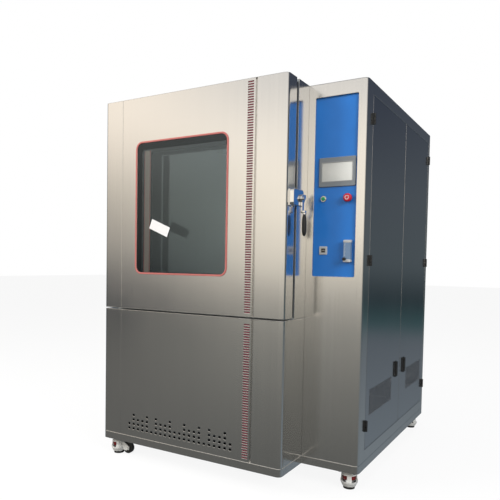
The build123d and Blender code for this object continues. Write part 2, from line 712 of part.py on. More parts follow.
# Side latch: a block on the door, a lever that hangs from it, a strike on the body
def latch():
    z_middle = z_base + latch_z
    half = latch_height / 2
    base_y = (y_front + latch_y, y_door_back - 4)
    reach_y = (y_front + latch_y, y_front + latch_y + latch_reach)
    foot = side_plate(base_y, (z_middle - half, z_middle + half), 6, (x_inner, x_inner + 5))
    block = side_plate(reach_y, (z_middle - half + 6, z_middle + half), 14, (x_inner + 5, x_inner + latch_proud))
    block = fillet(block.faces().sort_by(Axis.X)[-1].edges(), 4)
    pivot = (y_front + pivot_y, z_middle)
    pin_end = x_inner + latch_proud + lever_thick + 4
    base = foot + block + rod(6, (x_inner + 5, *pivot), (pin_end, *pivot))
    cap = rod(10, (pin_end, *pivot), (pin_end + 3, *pivot))
    keep("latch_base", base + cap)

    lever_x = (x_inner + latch_proud + fit, x_inner + latch_proud + lever_thick)
    hub = rod(hub_radius, (lever_x[0], *pivot), (pin_end - fit, *pivot))
    arm_low = pivot[1] - lever_drop
    arm = slab(lever_x, (pivot[0] - 10, pivot[0] + 10), (arm_low - 6, pivot[1]))
    tongue = slab(lever_x, (pivot[0], pivot[0] + 26), (pivot[1] - 7, pivot[1] + 9))
    grip_x = (lever_x[0] + lever_x[1]) / 2 + grip_offset
    elbow = slab((lever_x[0], grip_x + 6), (pivot[0] - 10, pivot[0] + 10), (arm_low - 6, arm_low + 6))
    elbow = fillet(elbow.faces().sort_by(Axis.X)[-1].edges().filter_by(Axis.Y), 4)
    lever = hub + arm + elbow + tongue - rod(6 + running, (lever_x[0] - 1, *pivot), (pin_end, *pivot))
    grip = rod(grip_radius, (grip_x, pivot[0], arm_low - grip_length), (grip_x, pivot[0], arm_low - 6))
    grip = fillet(grip.edges().filter_by(GeomType.CIRCLE), 6)
    keep("latch_lever", lever, grip)

    strike_y = (y_front + strike_start, y_front + strike_start + strike_reach)
    plate = side_plate(strike_y, (z_middle - 28, z_middle + 28), 4, (x_inner, x_inner + 4))
    post_y = (y_front + latch_y + latch_reach + 2, strike_y[1] - 6)
    keeper = side_plate(post_y, (z_middle + 2, z_middle + 24), 4, (x_inner + 4, x_inner + 4 + strike_lift))
    keep("latch_strike", plate + keeper)


# Service doors: shallow pans with a perforated field, hinge leaves and a lift handle each
def service_doors():
    hinge_posts = []
    rows = (("front", front_door_start, door_meeting - door_gap, 1), ("rear", rear_door_end, door_meeting + door_gap, -1))
    for name, hinge_edge, free_edge, way in rows:
        y = sorted((y_front + hinge_edge, y_front + free_edge))
        z = (z_base + door_low, z_base + door_high)
        pan = slab((x_right - door_return, x_right), y, z)
        pan -= slab((x_right - door_return - 1, x_right - sheet), (y[0] + sheet, y[1] - sheet), (z[0] + sheet, z[1] - sheet))
        near = y_front + hinge_edge + way * grille_margin_hinge
        far = y_front + free_edge - way * grille_margin_free
        pan = pan - grille_holes(sorted((near, far)))
        leaves = []
        for level in hinge_levels:
            moving, fixed = hinge(x_right, 1, y_front + hinge_edge, z_base + level, hinge_height, hinge_leaf, way)
            leaves.append(moving)
            hinge_posts.append(fixed)
        middle = y_front + door_meeting - way * handle_offset
        body, lever = service_handle(middle)
        keep("service_door_" + name, pan, *leaves, body)
        keep("service_handle_" + name, lever)
    keep("service_hinges", *hinge_posts)


# Staggered round holes that fill a field of the given width
def grille_holes(y):
    rows = floor(grille_height / (grille_pitch / 2)) + 1
    columns = floor((y[1] - y[0]) / grille_pitch) + 1
    holes = []
    for row in range(rows):
        shift = grille_pitch / 2 if row % 2 else 0
        count = columns - 1 if row % 2 else columns
        z = z_base + grille_low + row * grille_pitch / 2
        for column in range(count):
            spot = y[0] + shift + column * grille_pitch
            holes.append(Pos(x_right - sheet / 2, spot, z) * Rot(45, 0, 0) * Box(3 * sheet, grille_hole, grille_hole))
    return holes


# A lift handle: lugs on the door carry a lever that swings out about its lower end
def service_handle(y):
    z = z_base + handle_low
    half = handle_width / 2
    plate = side_plate((y - half, y + half), (z, z + handle_height), 4, (x_right, x_right + 2))
    axis = (x_right + 6.5, z + 8)
    lugs = [slab((x_right + 2, axis[0] + 3), sorted((y + s * half, y + s * (half - 4))), (axis[1] - 5, axis[1] + 5))
            for s in (-1, 1)]
    pin = rod(2, (axis[0], y - half + 4, axis[1]), (axis[0], y + half - 4, axis[1]))
    lever_half = half - 4 - fit
    knuckle = axis[0] - x_right - 2 - fit
    lever = slab((x_right + 2 + fit, x_right + handle_proud), (y - lever_half, y + lever_half), (axis[1], z + handle_height - 3))
    lever += rod(knuckle, (axis[0], y - lever_half, axis[1]), (axis[0], y + lever_half, axis[1]))
    lever -= rod(2 + running, (axis[0], y - half, axis[1]), (axis[0], y + half, axis[1]))
    lever = fillet(lever.faces().sort_by(Axis.X)[-1].edges().sort_by(Axis.Z)[-1], 4)
    return plate + lugs + pin, lever


# Inner tank: flat walls, front flange, and a funnel of four sloping plates
def inner_tank():
    x = (x_left + wall_side, x_inner - wall_side)
    y = (y_jamb, y_jamb + space_depth)
    z = (z_base + space_low, z_base + space_high)
    left = slab((x[0] - liner, x[0]), y, z)
    right = slab((x[1], x[1] + liner), y, z)
    top = slab((x[0] - liner, x[1] + liner), y, (z[1], z[1] + liner))
    duct_x, duct_z = duct_section()
    back = slab((x[0] - liner, x[1] + liner), (y[1], y[1] + liner), z)
    back -= slab(duct_x, (y[1] - 1, y[1] + liner + 1), duct_z)
    flange_x = (x_left + sheet, x_inner - sheet)
    flange_z = (z_ledge, z_top - sheet)
    flange_y = (y_jamb, y_jamb + liner)
    flange = [slab(flange_x, flange_y, (z[1] + liner, flange_z[1])), slab(flange_x, flange_y, (flange_z[0], z[0])),
              slab((flange_x[0], x[0] - liner), flange_y, (z[0], z[1] + liner)),
              slab((x[1] + liner, flange_x[1]), flange_y, (z[0], z[1] + liner))]
    keep("chamber_liner", left, right, top, back, *flange, *funnel(x, (y[0] + liner, y[1]), z[0]))
    keep("insulation", *insulation(x, y, z, duct_x, duct_z))
    keep("specimen_shelf", *shelf(x, y, z[0]))


def funnel(x, y, top):
    low = z_base + throat_low
    centre = ((x[0] + x[1]) / 2, (y[0] + y[1]) / 2)

    def cone(grow):
        upper = Pos(*centre, top) * Rectangle(x[1] - x[0] + 2 * grow, y[1] - y[0] + 2 * grow)
        lower = Pos(*centre, low) * Rectangle(throat + 2 * grow, throat + 2 * grow)
        return loft([lower, upper])

    shell = cone(0) - cone(-liner * 1.5)
    near = throat / 2
    plates = []
    corners = {"front": ((x[0], y[0]), (x[1], y[0])), "right": ((x[1], y[0]), (x[1], y[1])),
               "back": ((x[1], y[1]), (x[0], y[1])), "left": ((x[0], y[1]), (x[0], y[0]))}
    inner = {(x[0], y[0]): (-near, -near), (x[1], y[0]): (near, -near), (x[1], y[1]): (near, near), (x[0], y[1]): (-near, near)}
    for start, end in corners.values():
        a, b = inner[start], inner[end]
        inner_start = (centre[0] + a[0], centre[1] + a[1])
        inner_end = (centre[0] + b[0], centre[1] + b[1])
        middle = (centre[0] + (a[0] + b[0]) * 0.35, centre[1] + (a[1] + b[1]) * 0.35)
        sector = make_face(Polyline(start, end, inner_end, middle, inner_start, close=True))
        plates.append(shell & (Pos(0, 0, low) * extrude(sector, top - low)))
    return plates


def insulation(x, y, z, duct_x, duct_z):
    outer_x = (x_left + sheet, x_inner - sheet)
    low, high = z[0], z[1] + liner
    front = y[0] + liner
    left = slab((outer_x[0], x[0] - liner), (front, y[1] + liner), (low, high))
    right = slab((x[1] + liner, outer_x[1]), (front, y[1] + liner), (low, high))
    top = slab(outer_x, (front, y[1] + liner), (high, z_top - sheet))
    back = slab(outer_x, (y[1] + liner, y[1] + liner + wool), (low, z_top - sheet))
    back -= slab(duct_x, (y[1], y[1] + liner + wool + 1), duct_z)
    return left, right, top, back


# A removable grating on two angle rails
def shelf(x, y, floor_z):
    low = floor_z + shelf_rise
    rails = []
    for edge, way in ((x[0], 1), (x[1], -1)):
        rail = slab(sorted((edge, edge + way * 25)), (y[0] + 40, y[1] - 40), (low - 3, low))
        rail += slab(sorted((edge, edge + way * 3)), (y[0] + 40, y[1] - 40), (low - 25, low))
        rails.append(rail)
    plate_x = (x[0] + shelf_gap, x[1] - shelf_gap)
    plate_y = (y[0] + 60, y[1] - 60)
    plate = slab(plate_x, plate_y, (low, low + shelf_thick))
    across = floor((plate_x[1] - plate_x[0] - 20) / mesh_pitch)
    along = floor((plate_y[1] - plate_y[0] - 20) / mesh_pitch)
    first_x = (plate_x[0] + plate_x[1] - (across - 1) * mesh_pitch) / 2
    first_y = (plate_y[0] + plate_y[1] - (along - 1) * mesh_pitch) / 2
    holes = [Pos(first_x + i * mesh_pitch, first_y + j * mesh_pitch, low) * Box(mesh_hole, mesh_hole, 4 * shelf_thick)
             for i in range(across) for j in range(along)]
    return rails + [plate - holes]


# The return branch of the duct enters the test space through the back wall
def duct_section():
    middle = x_left + chamber_width / 2 + scroll_radius - duct_width / 2
    top = z_base + duct_top
    return (middle - duct_width / 2, middle + duct_width / 2), (top - duct_width, top)


# A straight rectangular duct along one axis
def box_tube(x, y, z, open_axis):
    cuts = {"x": x, "y": y, "z": z}
    inner = {}
    for axis, (low, high) in cuts.items():
        inner[axis] = (low - 1, high + 1) if axis == open_axis else (low + duct_wall, high - duct_wall)
    return slab(x, y, z) - slab(inner["x"], inner["y"], inner["z"])


def circulation():
    middle = x_left + chamber_width / 2
    axis_z = z_base + scroll_axis_z
    front = y_jamb + space_depth + liner + wool + duct_gap
    back = front + scroll_width
    centre_y = y_jamb + (space_depth + liner) / 2
    half = throat / 2
    suction_x = (middle - half, middle + half)
    suction_z = (axis_z - 60, z_base + throat_low)
    suction = slab(suction_x, (centre_y - half, front), suction_z)
    suction -= slab((suction_x[0] + duct_wall, suction_x[1] - duct_wall), (centre_y - half + duct_wall, front + 1),
                    (suction_z[0] + duct_wall, suction_z[1] - duct_wall))
    suction -= slab((middle - half + 8, middle + half - 8), (centre_y - half + 8, centre_y + half - 8),
                    (suction_z[1] - 5, suction_z[1] + 5))
    duct_x, duct_z = duct_section()
    riser_y = (front, back)
    bottom = axis_z + scroll_radius + 40
    riser = box_tube(duct_x, riser_y, (bottom, duct_z[1] - duct_width), "z")
    inner_wall = y_jamb + space_depth
    branch = slab(duct_x, (inner_wall - 20, back), duct_z)
    branch -= slab((duct_x[0] + duct_wall, duct_x[1] - duct_wall), (inner_wall - 25, back - duct_wall),
                   (duct_z[0] + duct_wall, duct_z[1] - duct_wall))
    branch -= slab((duct_x[0] + duct_wall, duct_x[1] - duct_wall), (riser_y[0] + duct_wall, back - duct_wall),
                   (duct_z[0] - 1, duct_z[0] + 5))
    keep("circulation_duct", suction, riser, branch)

    drum = rod(scroll_radius, (middle, front, axis_z), (middle, back, axis_z))
    drum += slab(duct_x, riser_y, (axis_z, bottom))
    hollow = rod(scroll_radius - duct_wall, (middle, front + duct_wall, axis_z), (middle, back - duct_wall, axis_z))
    hollow += slab((duct_x[0] + duct_wall, duct_x[1] - duct_wall), (front + duct_wall, back - duct_wall), (axis_z, bottom + 1))
    drum = drum - hollow - rod(56, (middle, front - 1, axis_z), (middle, front + 5, axis_z))
    drum -= rod(shaft_radius + running, (middle, back - 5, axis_z), (middle, back + 1, axis_z))
    stand = slab((middle - 60, middle + 60), (front + 20, back - 20), (z_floor + sheet, axis_z - scroll_radius + 18))
    stand -= rod(scroll_radius, (middle, front, axis_z), (middle, back, axis_z))
    keep("blower_housing", drum, stand)

    wheel_front = back - duct_wall - 14 - impeller_width
    wheel_back = wheel_front + impeller_width
    impeller = rod(impeller_radius, (middle, wheel_back - 3, axis_z), (middle, wheel_back, axis_z))
    impeller += rod(26, (middle, wheel_front + 20, axis_z), (middle, wheel_back - 3, axis_z))
    blade = slab((18, impeller_radius - 4), (wheel_front, wheel_back - 1), (-1.5, 1.5))
    for i in range(blade_count):
        impeller += Pos(middle, 0, axis_z) * Rot(0, 360 / blade_count * i, 0) * blade
    impeller += rod(shaft_radius, (middle, wheel_front + 30, axis_z), (middle, back + 60, axis_z))
    keep("blower_impeller", impeller)

    motor_start = back + fit
    motor_end = motor_start + motor_length
    motor = rod(motor_radius, (middle, motor_start, axis_z), (middle, motor_end, axis_z))
    motor = fillet(motor.edges().filter_by(GeomType.CIRCLE), 10)
    motor -= rod(shaft_radius + running, (middle, motor_start - 1, axis_z), (middle, back + 70, axis_z))
    foot = slab((middle - 55, middle + 55), (motor_start + 30, motor_end - 30), (z_floor + sheet, axis_z - 40))
    foot -= rod(motor_radius, (middle, motor_start, axis_z), (middle, motor_end, axis_z))
    keep("drive_motors", motor, foot, *vibrator())


# A small vibrator motor clamped to the left slope of the funnel
def vibrator():
    x_top = x_left + wall_side
    x_low = x_left + chamber_width / 2 - throat / 2
    z_high, z_low = z_base + space_low, z_base + throat_low
    middle_y = y_jamb + (space_depth + liner) / 2
    share = 0.42
    run, rise = x_top - x_low, z_high - z_low
    length = (run ** 2 + rise ** 2) ** 0.5
    point = Vector(x_low + run * share, middle_y, z_low + rise * share)
    outward = Vector(-rise / length, 0, run / length)
    slope = Plane(origin=point, x_dir=(0, 1, 0), z_dir=outward)
    bracket = extrude(slope * Rectangle(150, 70), 6)
    body = Pos(0, 0, 6 + 34) * Rot(0, 90, 0) * Cylinder(34, 130)
    saddle = Pos(0, 0, 6 + 12) * Box(100, 40, 24) - Pos(0, 0, 6 + 34) * Rot(0, 90, 0) * Cylinder(34, 140)
    return bracket, slope.location * body, slope.location * saddle


# Wiring plate on the divider, with rails, wiring ducts and modules
def electrical_panel():
    face = x_inner + 12
    y = (y_front + plate_start, y_front + plate_end)
    z = (z_base + plate_low, z_base + plate_high)
    plate = slab((face, face + 2.5), y, z)
    studs = [slab((x_inner, face), (spot - 8, spot + 8), (level - 8, level + 8))
             for spot in (y[0] + 30, y[1] - 30) for level in (z[0] + 30, z[1] - 30)]
    front = face + 2.5
    solids = [plate] + studs
    rows = [z[1] - 190, z[1] - 440, z[1] - 690, z[1] - 940]
    modules = [(18, 7, 70), (45, 4, 86), (72, 3, 60), (27, 6, 48)]
    for level, (width, count, depth) in zip(rows, modules):
        solids.append(slab((front, front + 7.5), (y[0] + 60, y[1] - 60), (level - 17, level + 17)))
        for i in range(count):
            start = y[0] + 80 + i * (width + 4)
            solids.append(slab((front + 7.5, front + depth), (start, start + width), (level - 42, level + 42)))
        solids.append(slab((front, front + 50), (y[0] + 10, y[1] - 10), (level + 75, level + 115)))
    for start in (y[0] + 10, y[1] - 50):
        for level in rows:
            solids.append(slab((front, front + 50), (start, start + 40), (level - 134, level + 74)))
    keep("electrical_panel", *solids)


# Vacuum pump for the specimen line, on the cabinet floor
def vacuum_pump():
    floor_z = z_floor + sheet
    y = (y_front + pump_start, y_front + pump_start + 330)
    middle_x = (x_inner + x_right) / 2 - 20
    tray = slab((middle_x - 80, middle_x + 80), y, (floor_z, floor_z + 6))
    pump = slab((middle_x - 60, middle_x + 60), (y[0] + 20, y[0] + 140), (floor_z + 6, floor_z + 146))
    pump = fillet(pump.edges().filter_by(Axis.Y), 14)
    filter_pot = rod(28, (middle_x, y[0] + 80, floor_z + 146), (middle_x, y[0] + 80, floor_z + 236))
    motor = rod(62, (middle_x, y[0] + 140, floor_z + 76), (middle_x, y[0] + 300, floor_z + 76))
    cradle = slab((middle_x - 45, middle_x + 45), (y[0] + 170, y[0] + 280), (floor_z + 6, floor_z + 30))
    cradle -= rod(62, (middle_x, y[0] + 140, floor_z + 76), (middle_x, y[0] + 300, floor_z + 76))
    keep("vacuum_pump", tray, pump, filter_pot, motor, cradle)


base_frame()
casters()
lower_front()
outer_panels()
power_inlet()
cabinet_frame()
control_panel()
main_door()
door_hinges()
latch()
service_doors()
inner_tank()
circulation()
electrical_panel()
vacuum_pump()

os.makedirs("parts", exist_ok=True)
for name, solids in parts.items():
    shape = solids[0] if len(solids) == 1 else Compound(children=solids)
    export_step(shape, "parts/" + name + ".step")
print(len(parts), "nodes,", sum(len(solids) for solids in parts.values()), "solids")
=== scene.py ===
import bpy
import bmesh
from math import radians, pi
from mathutils import Vector, Matrix


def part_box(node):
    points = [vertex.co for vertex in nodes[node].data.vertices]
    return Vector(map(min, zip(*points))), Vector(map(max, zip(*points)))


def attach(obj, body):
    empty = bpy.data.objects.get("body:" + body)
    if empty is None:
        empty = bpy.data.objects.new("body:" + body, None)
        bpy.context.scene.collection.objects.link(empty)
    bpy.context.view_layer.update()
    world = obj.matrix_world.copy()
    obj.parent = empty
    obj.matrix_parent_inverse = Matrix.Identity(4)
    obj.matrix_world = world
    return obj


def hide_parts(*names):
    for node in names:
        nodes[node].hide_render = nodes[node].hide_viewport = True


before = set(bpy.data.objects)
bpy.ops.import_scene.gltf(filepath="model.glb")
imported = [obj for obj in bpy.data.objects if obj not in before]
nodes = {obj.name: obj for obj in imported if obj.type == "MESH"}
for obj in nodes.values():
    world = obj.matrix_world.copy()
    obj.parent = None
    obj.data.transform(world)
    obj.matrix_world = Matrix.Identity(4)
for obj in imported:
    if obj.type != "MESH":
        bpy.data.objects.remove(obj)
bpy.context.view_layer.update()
print("frame loaded:", len(nodes), "nodes")


def tree(name):
    material = bpy.data.materials.new(name)
    material.use_nodes = True
    links = material.node_tree
    return material, links, links.nodes["Principled BSDF"]


def put(links, kind, **values):
    node = links.nodes.new(kind)
    for key, value in values.items():
        if key in node.inputs:
            node.inputs[key].default_value = value
        else:
            setattr(node, key, value)
    return node


def join(links, source, output, target, socket):
    links.links.new(source.outputs[output], target.inputs[socket])


def dress(node, material):
    nodes[node].data.materials.clear()
    nodes[node].data.materials.append(material)


# Drawn-out streaks of a brushed sheet: outputs a tone, a roughness and a height
def grainGroup():
    scale = {"sideways": 1.37, "bandAcross": 0.05, "bandAlong": 0.08, "hairRough": 0.03}
    group = bpy.data.node_groups.new("brushedGrain", "ShaderNodeTree")
    for name, value in (("Tone", 0.06), ("Rough", 0.3), ("Smudge", 0.08), ("Fine", 900.0), ("Draw", 6.0)):
        socket = group.interface.new_socket(name, in_out="INPUT", socket_type="NodeSocketFloat")
        socket.default_value = value
    for name in ("Shade", "Roughness", "Height"):
        group.interface.new_socket(name, in_out="OUTPUT", socket_type="NodeSocketFloat")
    start = put(group, "NodeGroupInput")
    end = put(group, "NodeGroupOutput")
    place = put(group, "ShaderNodeTexCoord")
    split = put(group, "ShaderNodeSeparateXYZ")
    join(group, place, "Object", split, "Vector")
    # x and y are folded into one axis across the grain
    side = put(group, "ShaderNodeMath", operation="MULTIPLY_ADD")
    join(group, split, "X", side, 0)
    side.inputs[1].default_value = 1.0
    scaleY = put(group, "ShaderNodeMath", operation="MULTIPLY")
    join(group, split, "Y", scaleY, 0)
    scaleY.inputs[1].default_value = scale["sideways"]
    join(group, scaleY, "Value", side, 2)
    across = put(group, "ShaderNodeMath", operation="MULTIPLY")
    join(group, side, "Value", across, 0)
    join(group, start, "Fine", across, 1)
    along = put(group, "ShaderNodeMath", operation="MULTIPLY")
    join(group, split, "Z", along, 0)
    join(group, start, "Draw", along, 1)
    drawn = put(group, "ShaderNodeCombineXYZ")
    join(group, across, "Value", drawn, "X")
    join(group, along, "Value", drawn, "Z")
    hair = put(group, "ShaderNodeTexNoise", Scale=1.0, Detail=3.0, Roughness=0.7)
    join(group, drawn, "Vector", hair, "Vector")
    wide = put(group, "ShaderNodeMath", operation="MULTIPLY")
    join(group, across, "Value", wide, 0)
    wide.inputs[1].default_value = scale["bandAcross"]
    slow = put(group, "ShaderNodeMath", operation="MULTIPLY")
    join(group, along, "Value", slow, 0)
    slow.inputs[1].default_value = scale["bandAlong"]
    broad = put(group, "ShaderNodeCombineXYZ")
    join(group, wide, "Value", broad, "X")
    join(group, slow, "Value", broad, "Z")
    bands = put(group, "ShaderNodeTexNoise", Scale=1.0, Detail=2.0, Roughness=0.5)
    join(group, broad, "Vector", bands, "Vector")
    cloud = put(group, "ShaderNodeTexNoise", Scale=3.1, Detail=4.0, Roughness=0.55)
    join(group, place, "Object", cloud, "Vector")
    both = put(group, "ShaderNodeMath", operation="ADD")
    join(group, hair, "Fac", both, 0)
    join(group, bands, "Fac", both, 1)
    centred = put(group, "ShaderNodeMath", operation="SUBTRACT")
    join(group, both, "Value", centred, 0)
    centred.inputs[1].default_value = 1.0
    toned = put(group, "ShaderNodeMath", operation="MULTIPLY_ADD")
    join(group, centred, "Value", toned, 0)
    join(group, start, "Tone", toned, 1)
    toned.inputs[2].default_value = 0.5
    join(group, toned, "Value", end, "Shade")
    dirt = put(group, "ShaderNodeMath", operation="SUBTRACT")
    join(group, cloud, "Fac", dirt, 0)
    dirt.inputs[1].default_value = 0.5
    rough = put(group, "ShaderNodeMath", operation="MULTIPLY_ADD")
    join(group, dirt, "Value", rough, 0)
    join(group, start, "Smudge", rough, 1)
    join(group, start, "Rough", rough, 2)
    rougher = put(group, "ShaderNodeMath", operation="MULTIPLY_ADD")
    join(group, centred, "Value", rougher, 0)
    rougher.inputs[1].default_value = scale["hairRough"]
    join(group, rough, "Value", rougher, 2)
    join(group, rougher, "Value", end, "Roughness")
    join(group, hair, "Fac", end, "Height")
    return group


# Fine moulded or sprayed skin: outputs a tone, a roughness and a height
def skinGroup():
    group = bpy.data.node_groups.new("mouldedSkin", "ShaderNodeTree")
    for name, value in (("Tone", 0.05), ("Rough", 0.45), ("Spread", 0.1), ("Fine", 900.0)):
        socket = group.interface.new_socket(name, in_out="INPUT", socket_type="NodeSocketFloat")
        socket.default_value = value
    for name in ("Shade", "Roughness", "Height"):
        group.interface.new_socket(name, in_out="OUTPUT", socket_type="NodeSocketFloat")
    start = put(group, "NodeGroupInput")
    end = put(group, "NodeGroupOutput")
    place = put(group, "ShaderNodeTexCoord")
    fine = put(group, "ShaderNodeTexNoise", Detail=2.0, Roughness=0.6)
    join(group, place, "Object", fine, "Vector")
    join(group, start, "Fine", fine, "Scale")
    cloud = put(group, "ShaderNodeTexNoise", Scale=7.0, Detail=4.0, Roughness=0.6)
    join(group, place, "Object", cloud, "Vector")
    centred = put(group, "ShaderNodeMath", operation="SUBTRACT")
    join(group, cloud, "Fac", centred, 0)
    centred.inputs[1].default_value = 0.5
    toned = put(group, "ShaderNodeMath", operation="MULTIPLY_ADD")
    join(group, centred, "Value", toned, 0)
    join(group, start, "Tone", toned, 1)
    toned.inputs[2].default_value = 0.5
    join(group, toned, "Value", end, "Shade")
    rough = put(group, "ShaderNodeMath", operation="MULTIPLY_ADD")
    join(group, centred, "Value", rough, 0)
    join(group, start, "Spread", rough, 1)
    join(group, start, "Rough", rough, 2)
    join(group, rough, "Value", end, "Roughness")
    join(group, fine, "Fac", end, "Height")
    return group


grain = grainGroup()
skin = skinGroup()


# A metal or plastic that takes its tone, roughness and bump from one of the groups.
# edge rounds the folds of a sheet in the shading, and settings go to the group.
def finish(name, group, dark, light, bump, depth, metallic=0.0, edge=0.0, **settings):
    material, links, shader = tree(name)
    pattern = put(links, "ShaderNodeGroup", node_tree=group)
    for key, value in settings.items():
        pattern.inputs[key].default_value = value
    ramp = put(links, "ShaderNodeMix", data_type="RGBA")
    ramp.inputs["A"].default_value = (*dark, 1)
    ramp.inputs["B"].default_value = (*light, 1)
    join(links, pattern, "Shade", ramp, "Factor")
    links.links.new(ramp.outputs["Result"], shader.inputs["Base Color"])
    join(links, pattern, "Roughness", shader, "Roughness")
    relief = put(links, "ShaderNodeBump", Strength=bump, Distance=depth)
    join(links, pattern, "Height", relief, "Height")
    join(links, relief, "Normal", shader, "Normal")
    if edge:
        rounded = put(links, "ShaderNodeBevel", samples=6, Radius=edge)
        join(links, rounded, "Normal", relief, "Normal")
    shader.inputs["Metallic"].default_value = metallic
    return material


# Steels
frontSteel = finish("brushedFrontSteel", grain, (0.70, 0.69, 0.67), (0.90, 0.89, 0.87),
                    bump=0.06, depth=0.0004, metallic=1.0, edge=0.0035,
                    Tone=0.22, Rough=0.18, Smudge=0.08, Fine=2200.0, Draw=9.0)
# A darker, bluer copy of the same brushed steel for the side faces and hinge parts: painted shade
shadedSideSteel = finish("brushedSteelPaintedShade", grain, (0.50, 0.51, 0.53), (0.68, 0.69, 0.71),
                   bump=0.05, depth=0.0004, metallic=1.0, edge=0.0045,
                   Tone=0.25, Rough=0.17, Smudge=0.08, Fine=2200.0, Draw=9.0)
innerSteel = finish("tankSteel", grain, (0.40, 0.45, 0.48), (0.54, 0.59, 0.62),
                    bump=0.06, depth=0.0004, metallic=0.85, Tone=0.5, Rough=0.42, Smudge=0.10)
ductSteel = finish("zincedSteel", skin, (0.42, 0.44, 0.46), (0.66, 0.68, 0.70),
                   bump=0.15, depth=0.0006, metallic=1.0, Tone=2.0, Rough=0.42, Spread=0.3, Fine=60.0)
# Bright parts of the latch
chrome = finish("polishedChrome", skin, (0.70, 0.70, 0.70), (0.86, 0.86, 0.86),
                bump=0.02, depth=0.0002, metallic=1.0, Tone=0.8, Rough=0.08, Spread=0.08, Fine=300.0)
# Paints
bluePaint = finish("bluePanelPaint", skin, (0.008, 0.155, 0.54), (0.018, 0.21, 0.68),
                   bump=0.06, depth=0.0002, Tone=1.0, Rough=0.33, Spread=0.12, Fine=1500.0)
blowerPaint = finish("blowerPaint", skin, (0.10, 0.12, 0.13), (0.15, 0.17, 0.18),
                     bump=0.10, depth=0.0003, Tone=1.2, Rough=0.5, Spread=0.2, Fine=700.0)
motorPaint = finish("motorPaint", skin, (0.03, 0.06, 0.10), (0.05, 0.10, 0.15),
                    bump=0.12, depth=0.0004, Tone=1.2, Rough=0.45, Spread=0.2, Fine=500.0)
# Trim, rubber, black parts and wool
trimRed = finish("redTrim", skin, (0.40, 0.115, 0.105), (0.52, 0.165, 0.150),
                 bump=0.05, depth=0.0002, Tone=1.0, Rough=0.40, Spread=0.15, Fine=900.0)
# The backing seen through the slots: its own dark red, made darker still as painted shade in the slots
shadedStripRed = finish("redBackingPaintedShade", skin, (0.13, 0.020, 0.032), (0.20, 0.034, 0.050),
                  bump=0.05, depth=0.0002, Tone=1.0, Rough=0.5, Spread=0.15, Fine=900.0)
sealRubber = finish("sealRubber", skin, (0.012, 0.012, 0.012), (0.026, 0.026, 0.026),
                    bump=0.25, depth=0.0004, Tone=1.5, Rough=0.72, Spread=0.2, Fine=500.0)
spacerBlack = finish("darkSpacer", skin, (0.012, 0.014, 0.014), (0.024, 0.026, 0.026),
                     bump=0.10, depth=0.0003, Tone=1.2, Rough=0.55, Spread=0.2, Fine=500.0)
blackPlastic = finish("blackPlastic", skin, (0.010, 0.010, 0.010), (0.022, 0.022, 0.022),
                      bump=0.22, depth=0.0003, Tone=1.2, Rough=0.42, Spread=0.2, Fine=1100.0)
blackMetal = finish("blackHinge", skin, (0.010, 0.011, 0.012), (0.022, 0.023, 0.024),
                    bump=0.12, depth=0.0003, Tone=1.2, Rough=0.38, Spread=0.2, Fine=1100.0)
woolMat = finish("mineralWool", skin, (0.42, 0.36, 0.22), (0.66, 0.58, 0.40),
                 bump=0.9, depth=0.004, Tone=2.0, Rough=0.9, Spread=0.1, Fine=160.0)
# Control panel parts
bezelGrey = finish("screenBezel", skin, (0.18, 0.20, 0.22), (0.24, 0.265, 0.285),
                   bump=0.10, depth=0.0002, Tone=1.0, Rough=0.38, Spread=0.12, Fine=1300.0)
lightPlastic = finish("lightPlastic", skin, (0.42, 0.43, 0.43), (0.56, 0.57, 0.57),
                      bump=0.10, depth=0.0002, Tone=1.0, Rough=0.42, Spread=0.12, Fine=1200.0)
ringMetal = finish("satinRing", skin, (0.56, 0.57, 0.58), (0.72, 0.73, 0.74),
                   bump=0.05, depth=0.0002, metallic=1.0, Tone=1.0, Rough=0.24, Spread=0.12, Fine=900.0)
greenPlastic = finish("greenLens", skin, (0.010, 0.23, 0.085), (0.02, 0.38, 0.14),
                      bump=0.05, depth=0.0002, Tone=1.0, Rough=0.25, Spread=0.12, Fine=900.0)
redPlastic = finish("redMushroom", skin, (0.40, 0.012, 0.026), (0.56, 0.024, 0.044),
                    bump=0.05, depth=0.0002, Tone=1.0, Rough=0.30, Spread=0.12, Fine=900.0)
# Casters, impeller and the flow meter's block
whiteCaster = finish("whiteCaster", skin, (0.62, 0.62, 0.60), (0.80, 0.80, 0.78),
                     bump=0.08, depth=0.0003, Tone=1.2, Rough=0.34, Spread=0.2, Fine=600.0)
thumbRed = finish("redThumbwheel", skin, (0.13, 0.010, 0.010), (0.22, 0.020, 0.018),
                  bump=0.15, depth=0.0003, Tone=1.2, Rough=0.42, Spread=0.2, Fine=900.0)
impellerAlloy = finish("castAlloy", skin, (0.42, 0.43, 0.44), (0.60, 0.61, 0.62),
                       bump=0.25, depth=0.0006, metallic=1.0, Tone=1.5, Rough=0.45, Spread=0.2, Fine=400.0)
acrylic = finish("clearBlock", skin, (0.22, 0.38, 0.62), (0.32, 0.48, 0.72),
                 bump=0.03, depth=0.0002, Tone=1.0, Rough=0.12, Spread=0.10, Fine=300.0)
acrylic.node_tree.nodes["Principled BSDF"].inputs["Transmission Weight"].default_value = 0.45


def glassMaterial():
    material, links, shader = tree("clearPane")
    shader.inputs["Base Color"].default_value = (0.90, 0.95, 0.95, 1)
    shader.inputs["Roughness"].default_value = 0.02
    shader.inputs["Transmission Weight"].default_value = 1.0
    shader.inputs["IOR"].default_value = 1.62
    shader.inputs["Specular Tint"].default_value = (0.74, 0.89, 1.0, 1)
    return material


